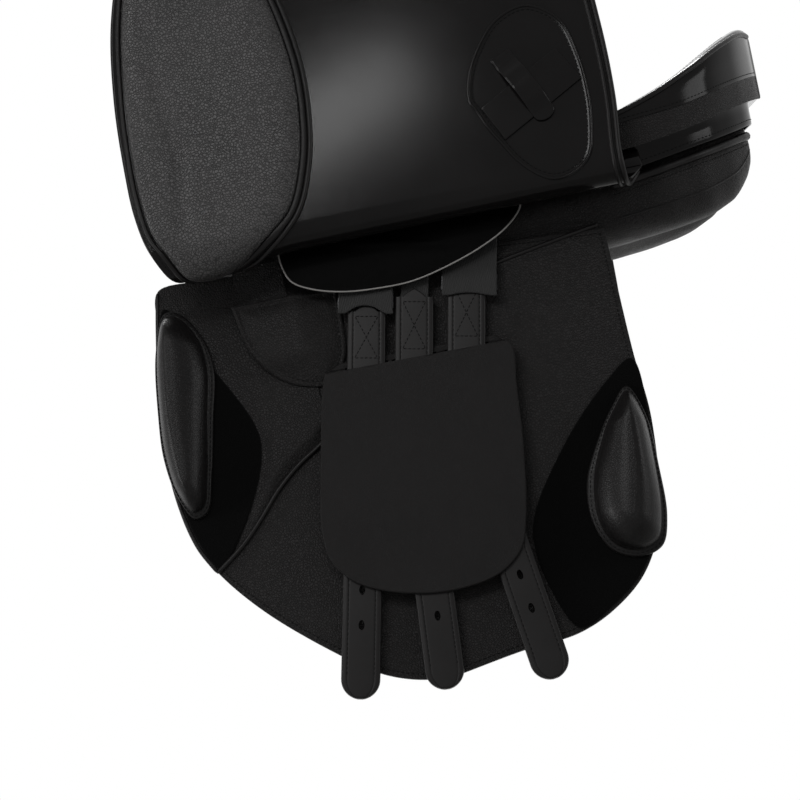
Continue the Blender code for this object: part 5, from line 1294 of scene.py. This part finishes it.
# %% Lines that these layers follow
SKIRT_LINE = np.array(((40, 106), (62, 104), (100, 97.5), (126, 92.5), (150, 85), (166, 75.5),
                       (174, 66.5))) * MM
SAFE_LINE = np.array(((120, 70.3), (146, 68.2), (158.5, 61), (163.5, 48), (166.5, 30), (169, 12))) * MM
SAFE_EDGE = np.array(((-88, 60), (-87.5, 43), (-83, 30.5), (-70.6, 22.5), (-48, 15.8), (-20, 13.2),
                      (0, 13.4), (21.8, 17.5), (52.5, 27.1), (74, 38), (86, 50), (87.5, 62))) * MM
SAFE_LEATHER = 1.6 * MM
SKIRT_LEATHER = 3.0 * MM
SEAT_HALF = np.array(((-172, 40), (-160, 52), (-140, 62), (60, 139), (110, 157), (160, 167), (195, 163),
                      (230, 146), (258, 112), (276, 70), (284, 38))) * MM
WELT_FRONT_X, WELT_REAR_X = -140 * MM, 60 * MM


def length_at(line, value, column):
    """The length along a fall line at which its distance out (0) or height (1) has a value."""
    order = 1 if line[-1, column] > line[0, column] else -1
    return np.interp(value, line[::order, column], run_of(line)[::order])


# %% Skirts, safes and fixed layers
skirt_fall = curve(SKIRT_LINE, 1.5 * MM)
skirt_fall = skirt_fall[skirt_fall[:, 0] > 60 * MM]
safe_fall = curve(SAFE_LINE, 1.5 * MM)
turn_in = math.radians(FLAP_DOWN_DEG - 90)
inward = np.array((math.cos(turn_in), math.sin(turn_in)))
fold_start = np.array(FOLD_CENTRE) + inward * FOLD_RADIUS
bend_centre = fold_start + inward * 20 * MM
a = np.radians(np.linspace(88, FLAP_DOWN_DEG + 90, 20))[:, None]
bend = bend_centre + 20 * MM * np.hstack((np.cos(a), np.sin(a)))
inner_out = 108.3 * MM
inner = np.array((inner_out, bend[0, 1] + (bend[0, 0] - inner_out) * math.tan(math.radians(2))))
top_fall = even(np.vstack((inner, bend)), 1.5 * MM)
for side_name, side in SIDES:
    lay = on_line(side, skirt_fall)
    end = length_at(skirt_fall, 174 * MM, 0)
    x = np.linspace(WELT_FRONT_X + 4 * MM, WELT_REAR_X, 9)
    welt = np.stack((x, length_at(skirt_fall, table(SEAT_HALF, x) + 1.2 * MM, 0)), axis=1)
    low = np.array(((60 * MM, length_at(skirt_fall, 141 * MM, 0)), (74 * MM, end - 18 * MM),
                    (66 * MM, end - 4 * MM), (40 * MM, end), (-30 * MM, end), (-90 * MM, end),
                    (-132 * MM, end - 10 * MM), (-150 * MM, end - 35 * MM), (-146 * MM, end - 70 * MM),
                    tuple(welt[0])))
    outline = even(np.vstack((welt[:-1], spline(low)[:-1])), 2 * MM, closed=True)
    sheet(f"skirt_{side_name}", outline, np.array(((-90 * MM, end - 45 * MM), (20 * MM, end - 40 * MM))),
          lay, -SKIRT_LEATHER, SKIRT_LEATHER, smooth, f"skirt_{side_name}", rings=14, round_edge=1.0 * MM,
          relief=lambda u, v, d: groove(d - 2.2 * MM, 0.9 * MM, 0.3 * MM))
    sew_on(f"skirt_{side_name}", lay, inset(even(spline(low), 1.5 * MM), 4 * MM, closed=False)[3:-6],
           0.1 * MM)

    lay = on_line(side, safe_fall)
    rim = spline(np.stack((SAFE_EDGE[:, 0], length_at(safe_fall, SAFE_EDGE[:, 1], 1)), axis=1))
    outline = even(np.vstack(((-88 * MM, 1 * MM), rim, (87.5 * MM, 1 * MM))), 1.8 * MM, closed=True)

    def ripple(u, v, depth):
        """Two shallow folds, each a bell curve across a slanting line, where the webs draw the leather."""
        first = np.exp(-(((v - 41 * MM) - 0.16 * (u + 40 * MM)) / (3.2 * MM)) ** 2)
        second = np.exp(-(((v - 50 * MM) - 0.24 * (u + 50 * MM)) / (2.6 * MM)) ** 2)
        in_front = ease((40 * MM - u) / (30 * MM)) * ease((u + 75 * MM) / (20 * MM))
        off_edge = ease(depth / (9 * MM))
        return (0.8 * MM * first + 0.6 * MM * second) * (in_front * off_edge)

    # The safe's colour is painted darker: painted shade under the lifted flap.
    sheet(f"safe_{side_name}", outline, np.array(((-45, 20), (45, 20))) * MM, lay, -SAFE_LEATHER / 2,
          SAFE_LEATHER, glazed_painted_darker, "saddle", rings=22, edge=pale_grey_edge, relief=ripple, round_edge=0.4 * MM)
    bead = tube(laid(lay, rim, SAFE_LEATHER / 2 - 0.1 * MM), outward(lay, rim), 0.6 * MM, sides=8)
    piping(f"safe_edge_{side_name}", [bead], finish=pale_grey_edge)

    lay = on_line(side, top_fall)
    end = length_at(top_fall, top_fall[-1, 0], 0) - CLEAR
    rear_x = (176 if side_name == "near" else 166) * MM
    front_corners = np.array(((-148, 0), (-106, 0), (-106, 25.5), (2, 25.5), (2, 0), (140, 0))) * MM
    rear_corners = np.array(((-15, 3), (-5, 9), (0, 20))) * MM + (rear_x, 0)
    low_corners = ((rear_x, end), (-150 * MM, end), (-158 * MM, end - 14 * MM), (-160 * MM, 12 * MM))
    outline = even(np.vstack((front_corners, rear_corners, low_corners)), 2.2 * MM, closed=True)
    spine = np.array(((-140 * MM, end - 18 * MM), (145 * MM, end - 18 * MM)))
    sheet(f"flap_top_{side_name}", outline, spine, lay, -UNDER, FLAP_LEATHER, smooth, "saddle", rings=10,
          round_edge=1.2 * MM)
print("skirts, safes and fixed layers laid")

# %% [markdown]
# ## The seat
# The seat is foam under leather: crowned at the pommel, dished in the middle and high at the cantle. Its
# surface is a table of heights along the middle and along the edge, with a crown between them. A piped
# welt follows the edge, two sewn seams divide the seat from its sides, and a lapped band covers the
# cantle's wall.

# %% Seat surface
SEAT_CENTRE = np.array(((-172, 113), (-155, 123.5), (-120, 121), (-80, 110), (-30, 97), (20, 88.5),
                        (60, 86), (100, 88.5), (150, 98), (200, 117), (240, 139), (262, 151), (276, 156),
                        (284, 153))) * MM
SEAT_REAR_EDGE = np.array(((60, 88.5), (100, 92), (150, 100), (190, 111), (225, 126), (255, 142),
                           (276, 150), (284, 149))) * MM
SEAT_BAND_FOOT = np.array(((60, 78), (120, 76.5), (163, 74.5), (195, 78), (226, 84), (260, 94),
                           (284, 101))) * MM
SEAT_FOOT_FRONT = np.array(((-172, 4.5), (-110, 4.8), (-80, 6.3), (-60, 8.0))) * MM
BAND_LINE = np.array(((60, 84), (110, 87), (165, 93.5), (210, 98), (250, 108), (284, 118))) * MM
SEAM_SHARE = 0.66
UNDERSIDE_SHARES = (0.8, 0.5, 0.25, 0.0)
SEAT_SHELL = 9 * MM
CANTLE_X = 268 * MM


def seat_edge(x):
    """The seat's edge lies on the skirt's line in front of the waist and on its own line behind."""
    return np.where(x <= WELT_REAR_X, table(SKIRT_LINE, table(SEAT_HALF, x)), table(SEAT_REAR_EDGE, x))


def seat_top(x, share):
    """Edge height plus a crown or dish that falls away as the share of the half width to the power 2.3."""
    edge = seat_edge(x)
    return edge + (table(SEAT_CENTRE, x) - edge) * (1 - np.minimum(np.abs(share), 1) ** 2.3)


def seat_foot(x):
    """The foot of the seat's wall: the band's foot behind the waist, and a little under the edge in front."""
    return np.where(x > WELT_REAR_X, table(SEAT_BAND_FOOT, x), seat_edge(x) - table(SEAT_FOOT_FRONT, x))


x = np.concatenate((np.linspace(-172, -150, 14), np.linspace(-146, 236, 78),
                    np.linspace(240, 281, 22))) * MM
half = table(SEAT_HALF, x)
inner_shares = np.linspace(0, 0.60, 17)
seam_shares = SEAM_SHARE + np.array((-0.045, -0.025, -0.012, -0.004, 0.004, 0.012, 0.025, 0.045))
outer_shares = np.linspace(0.74, 0.97, 8)
shares = np.concatenate((inner_shares, seam_shares, outer_shares))
shares = np.concatenate((-shares[:0:-1], shares))
top = seat_top(x[:, None], shares[None])
away = (np.abs(shares)[None] - SEAM_SHARE) * half[:, None]
top = top + groove(away, 2.2 * MM, 1.3 * MM)
top -= 2.0 * MM * np.clip((np.abs(shares)[None] - 0.9) / 0.08, 0, 1) ** 2
edge, foot = seat_edge(x), seat_foot(x)
lap = np.where(x > WELT_REAR_X, np.minimum(table(BAND_LINE, x), edge - 6 * MM), foot + 1.5 * MM)
walls = [(half - 1.0 * MM, edge - 2.8 * MM)]
walls += [(half + 0.6 * MM, lap + (edge - 4.5 * MM - lap) * k) for k in (1.0, 0.5, 0.08, 0.0)]
walls += [(half - 0.3 * MM, lap + (foot - lap) * k) for k in (0.02, 0.3, 0.7, 1.0)]
inner_foot = np.maximum(foot + 0.8 * MM, seat_top(x, 0.95) - SEAT_SHELL)
walls += [(half - 5 * MM, foot + 0.2 * MM), (half - 6 * MM, inner_foot)]
underside = [np.maximum(foot + 1.0 * MM, seat_top(x, k) - SEAT_SHELL) for k in UNDERSIDE_SHARES]
below = [(half * k, np.where(x > CANTLE_X, foot + 1.2 * MM, z))
         for k, z in zip(UNDERSIDE_SHARES, underside)]
right = np.array(walls + below).transpose(2, 0, 1)
loop_y = np.hstack((half[:, None] * shares[None], right[..., 0], -right[:, -2::-1, 0]))
loop_z = np.hstack((top, right[..., 1], right[:, -2::-1, 1]))
count = loop_y.shape[1]
mid_z = 0.5 * (loop_z.max(1) + loop_z.min(1))


def closing(row, sign, steps=7, depth=3.5 * MM):
    """Rings that shrink from an end section to its middle, pushed out along x as a shallow dome."""
    k = np.linspace(0, 1, steps + 1)[1:, None]
    size = np.cos(k * math.pi / 2)
    size[-1] = 0.0
    zz = mid_z[row] + (loop_z[row][None] - mid_z[row]) * size
    xx = x[row] + sign * depth * np.sin(k * math.pi / 2)
    return np.stack(np.broadcast_arrays(xx, loop_y[row][None] * size, zz), axis=-1)


body_rings = np.stack(np.broadcast_arrays(x[:, None], loop_y, loop_z), axis=-1)
rings = np.concatenate((closing(0, -1)[::-1], body_rings, closing(-1, 1)))
column = np.tile(np.arange(count), len(rings) - 1)
first_wall = len(shares)
band = first_wall + np.arange(4, 8)
band_columns = np.isin(column, band) | np.isin(column, 2 * (first_wall + right.shape[1] - 1) - (band + 1))
row_x = np.repeat(rings[:-1, 0, 0], count)
marks = np.nonzero(band_columns & (row_x > 70 * MM))[0]
seat = piece("seat", rings.reshape(-1, 3), grid_faces(len(rings), count), [smooth, grained], "saddle",
             edge_faces=marks, angle=50)
print("seat", len(seat.data.polygons), "faces")

# %% Seat seams
x = np.linspace(-168, 281, 180) * MM
tubes = []
for side_name, side in SIDES:
    half = table(SEAT_HALF, x)
    welt = np.stack((x, side * (half + 0.3 * MM), seat_edge(x) - 3.2 * MM), axis=1)
    tubes.append(tube(even(welt, 2.5 * MM), (0, 0, 1.0), 1.9 * MM))
    seam_x = x[(x > -158 * MM) & (x < 262 * MM)]
    y = SEAM_SHARE * table(SEAT_HALF, seam_x)
    for move in (-3.6 * MM, 3.6 * MM):
        share = (y + move) / table(SEAT_HALF, seam_x)
        place = np.stack((seam_x, side * (y + move), seat_top(seam_x, share) - 0.1 * MM), axis=1)
        sew("saddle", place, np.broadcast_to((0.0, 0.0, 1.0), place.shape))
    lap_x = x[x > 78 * MM]
    lap_z = np.minimum(table(BAND_LINE, lap_x), seat_edge(lap_x) - 6 * MM)
    half = table(SEAT_HALF, lap_x) + 0.7 * MM
    place = np.stack((lap_x, side * half, lap_z + 2.4 * MM), axis=1)
    t = np.gradient(np.stack((lap_x, side * half), axis=1), axis=0)
    sew("saddle", place, unit(np.stack((-t[:, 1] * side, t[:, 0] * side, t[:, 0] * 0), axis=1)))
piping("seat_welt", tubes)

# %% [markdown]
# ## Panels and the facing
# A panel is a cushion of wool flock in soft leather. The CAD solid gives its form, and cloth simulation
# fills it: the copy is remeshed, blown up from inside and held within a few millimetres of where it
# began. A welt with a row of stitches runs along its upper edge, and a fine seam along its side.


# %% Cushions blown up from the CAD's forms
def swell(name, node, voxel, cap, finish, pressure=4.0, last=20):
    """Copies a node, remeshes it, lets cloth pressure fill it, and caps how far each point may move."""
    scene = bpy.context.scene
    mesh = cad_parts[node].data.copy()
    obj = bpy.data.objects.new(name, mesh)
    scene.collection.objects.link(obj)
    mesh.materials.clear()
    mesh.materials.append(finish)
    mend(mesh, 1e-5)

    def applied():
        """Writes the evaluated mesh back and clears the modifiers."""
        made = bpy.data.meshes.new_from_object(obj.evaluated_get(bpy.context.evaluated_depsgraph_get()))
        obj.modifiers.clear()
        obj.data = made

    remesh = obj.modifiers.new("remesh", "REMESH")
    remesh.mode = "VOXEL"
    remesh.voxel_size = voxel
    even_out = obj.modifiers.new("even_out", "SMOOTH")
    even_out.factor = 0.5
    even_out.iterations = 8
    applied()
    start = np.empty(len(obj.data.vertices) * 3)
    obj.data.vertices.foreach_get("co", start)
    start = start.reshape(-1, 3)
    cloth = obj.modifiers.new("cloth", "CLOTH")
    cloth.settings.quality = 5
    cloth.settings.use_pressure = True
    cloth.settings.uniform_pressure_force = pressure
    cloth.settings.effector_weights.gravity = 0.0
    cloth.point_cache.frame_start = 1
    cloth.point_cache.frame_end = last
    for number in range(1, last + 1):
        scene.frame_set(number)
    applied()
    scene.frame_set(1)
    moved = np.empty(len(start) * 3)
    obj.data.vertices.foreach_get("co", moved)
    step = moved.reshape(-1, 3) - start
    length = np.linalg.norm(step, axis=1, keepdims=True)
    step *= np.minimum(1.0, cap / np.maximum(length, 1e-9))
    obj.data.vertices.foreach_set("co", (start + step).ravel())
    print(name, "swelled by up to", round(float(np.minimum(length, cap).max()) * 1000, 1), "mm")
    finer = obj.modifiers.new("finer", "SUBSURF")
    finer.levels = finer.render_levels = 1
    applied()
    obj.data.shade_smooth()
    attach(obj, "saddle")
    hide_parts(node)
    return obj


# %% Panels
PANEL_OUTER = np.array(((-150, 118), (-143, 130), (-125, 140), (-100, 144.5), (-60, 148), (0, 148.5),
                        (160, 148.5), (195, 142), (225, 128), (248, 106), (262, 84), (267, 72))) * MM
PANEL_WELT = np.array(((-150, 30), (-125, 34), (-100, 40), (-60, 47), (0, 49), (100, 50), (163, 56),
                       (223, 66), (250, 72), (267, 77))) * MM
PANEL_FOOT = np.array(((-150, -12), (-143, -30), (-125, -44), (-100, -44), (-60, -22), (0, 0), (70, 8),
                       (141, 12), (213, 17.5), (248, 30), (262, 46), (267, 58))) * MM
rear_x = np.linspace(156, 266.5, 70) * MM
for side_name, side in SIDES:
    panel = swell(f"panel_{side_name}", f"panel_{side_name}", 5 * MM, 3 * MM, grained)
    out, welt, foot = (table(rows, rear_x) for rows in (PANEL_OUTER, PANEL_WELT, PANEL_FOOT))
    tubes = []
    for z, radius, lift in ((welt - 3.5 * MM, 3.3 * MM, 1.0 * MM),
                            (foot + 0.38 * (welt - foot), 0.7 * MM, 0.0)):
        guess = np.stack((rear_x, side * (out + 8 * MM), z), axis=1)
        path, normals = [], []
        for point in guess:
            found, place, normal, _ = panel.ray_cast(Vector(point),
                                                     Vector((-0.25, -side, 0.0)).normalized())
            if found:
                path.append(place + normal * lift)
                normals.append(normal)
        path, normals = even(np.array(path), 2.5 * MM), np.array(normals)
        tubes.append(tube(path, (0, 0, 1.0), radius))
    piping(f"panel_welt_{side_name}", tubes)
    row = np.stack((rear_x, side * (out + 1.5 * MM), welt - 9.5 * MM), axis=1)
    hits = [panel.ray_cast(Vector(p) + Vector((0, side * 8 * MM, 0)),
                           Vector((-0.2, -side, 0)).normalized())
            for p in row]
    hits = [(h[1] + h[2] * 0.1 * MM, h[2]) for h in hits if h[0]]
    sew("saddle", np.array([h[0] for h in hits]), np.array([h[1] for h in hits]))

# %% Facing
plan_x = np.linspace(170, 266.9, 60) * MM
plan = np.stack((plan_x, table(PANEL_OUTER, plan_x)), axis=1)
across = np.linspace(table(PANEL_OUTER, 267 * MM), 0, 24)[1:]
plan = np.vstack((plan, np.stack((np.full(24 - 1, 267 * MM), across), axis=1)))
plan = np.vstack((plan, (plan * (1, -1))[-2::-1]))
plan = even(spline(plan[::4], steps=4), 2.5 * MM)
t = unit(np.gradient(plan, axis=0))
out = np.stack((-t[:, 1], t[:, 0]), axis=1)
low = table(PANEL_WELT, plan[:, 0]) + 4 * MM
high = table(SEAT_BAND_FOOT, plan[:, 0] + 2 * MM) + 4 * MM
profile = np.array(((0.6, 0.0), (1.6, 0.0), (2.2, 0.04), (2.4, 0.14), (2.4, 0.5), (2.6, 0.80),
                    (3.2, 0.84), (3.4, 0.92), (3.0, 0.985), (2.0, 1.0), (0.6, 1.0)))
rings = np.stack([np.column_stack((plan + out * o * MM, low + (high - low) * k))
                  for o, k in profile], axis=1)
piece("cantle_facing", rings.reshape(-1, 3), capped(len(rings), len(profile)), smooth, "saddle", angle=50)
sew("saddle", np.column_stack((plan + out * 2.4 * MM, low + 4 * MM)), np.column_stack((out, 0 * low)))
print("panels and facing made")

# %% [markdown]
# ## All the stitches
# Each body's rows become one mesh, so a stitch moves with the leather that it holds.

# %% Stitch meshes
for body, rows in stitches.items():
    on_fold = body == "flap_fold_near"
    sewn = piece(f"stitching_{body}", *joined(rows), thread, None if on_fold else body, angle=180)
    if on_fold:
        over_fold(sewn)
    print("stitching on", body, len(sewn.data.polygons), "faces")
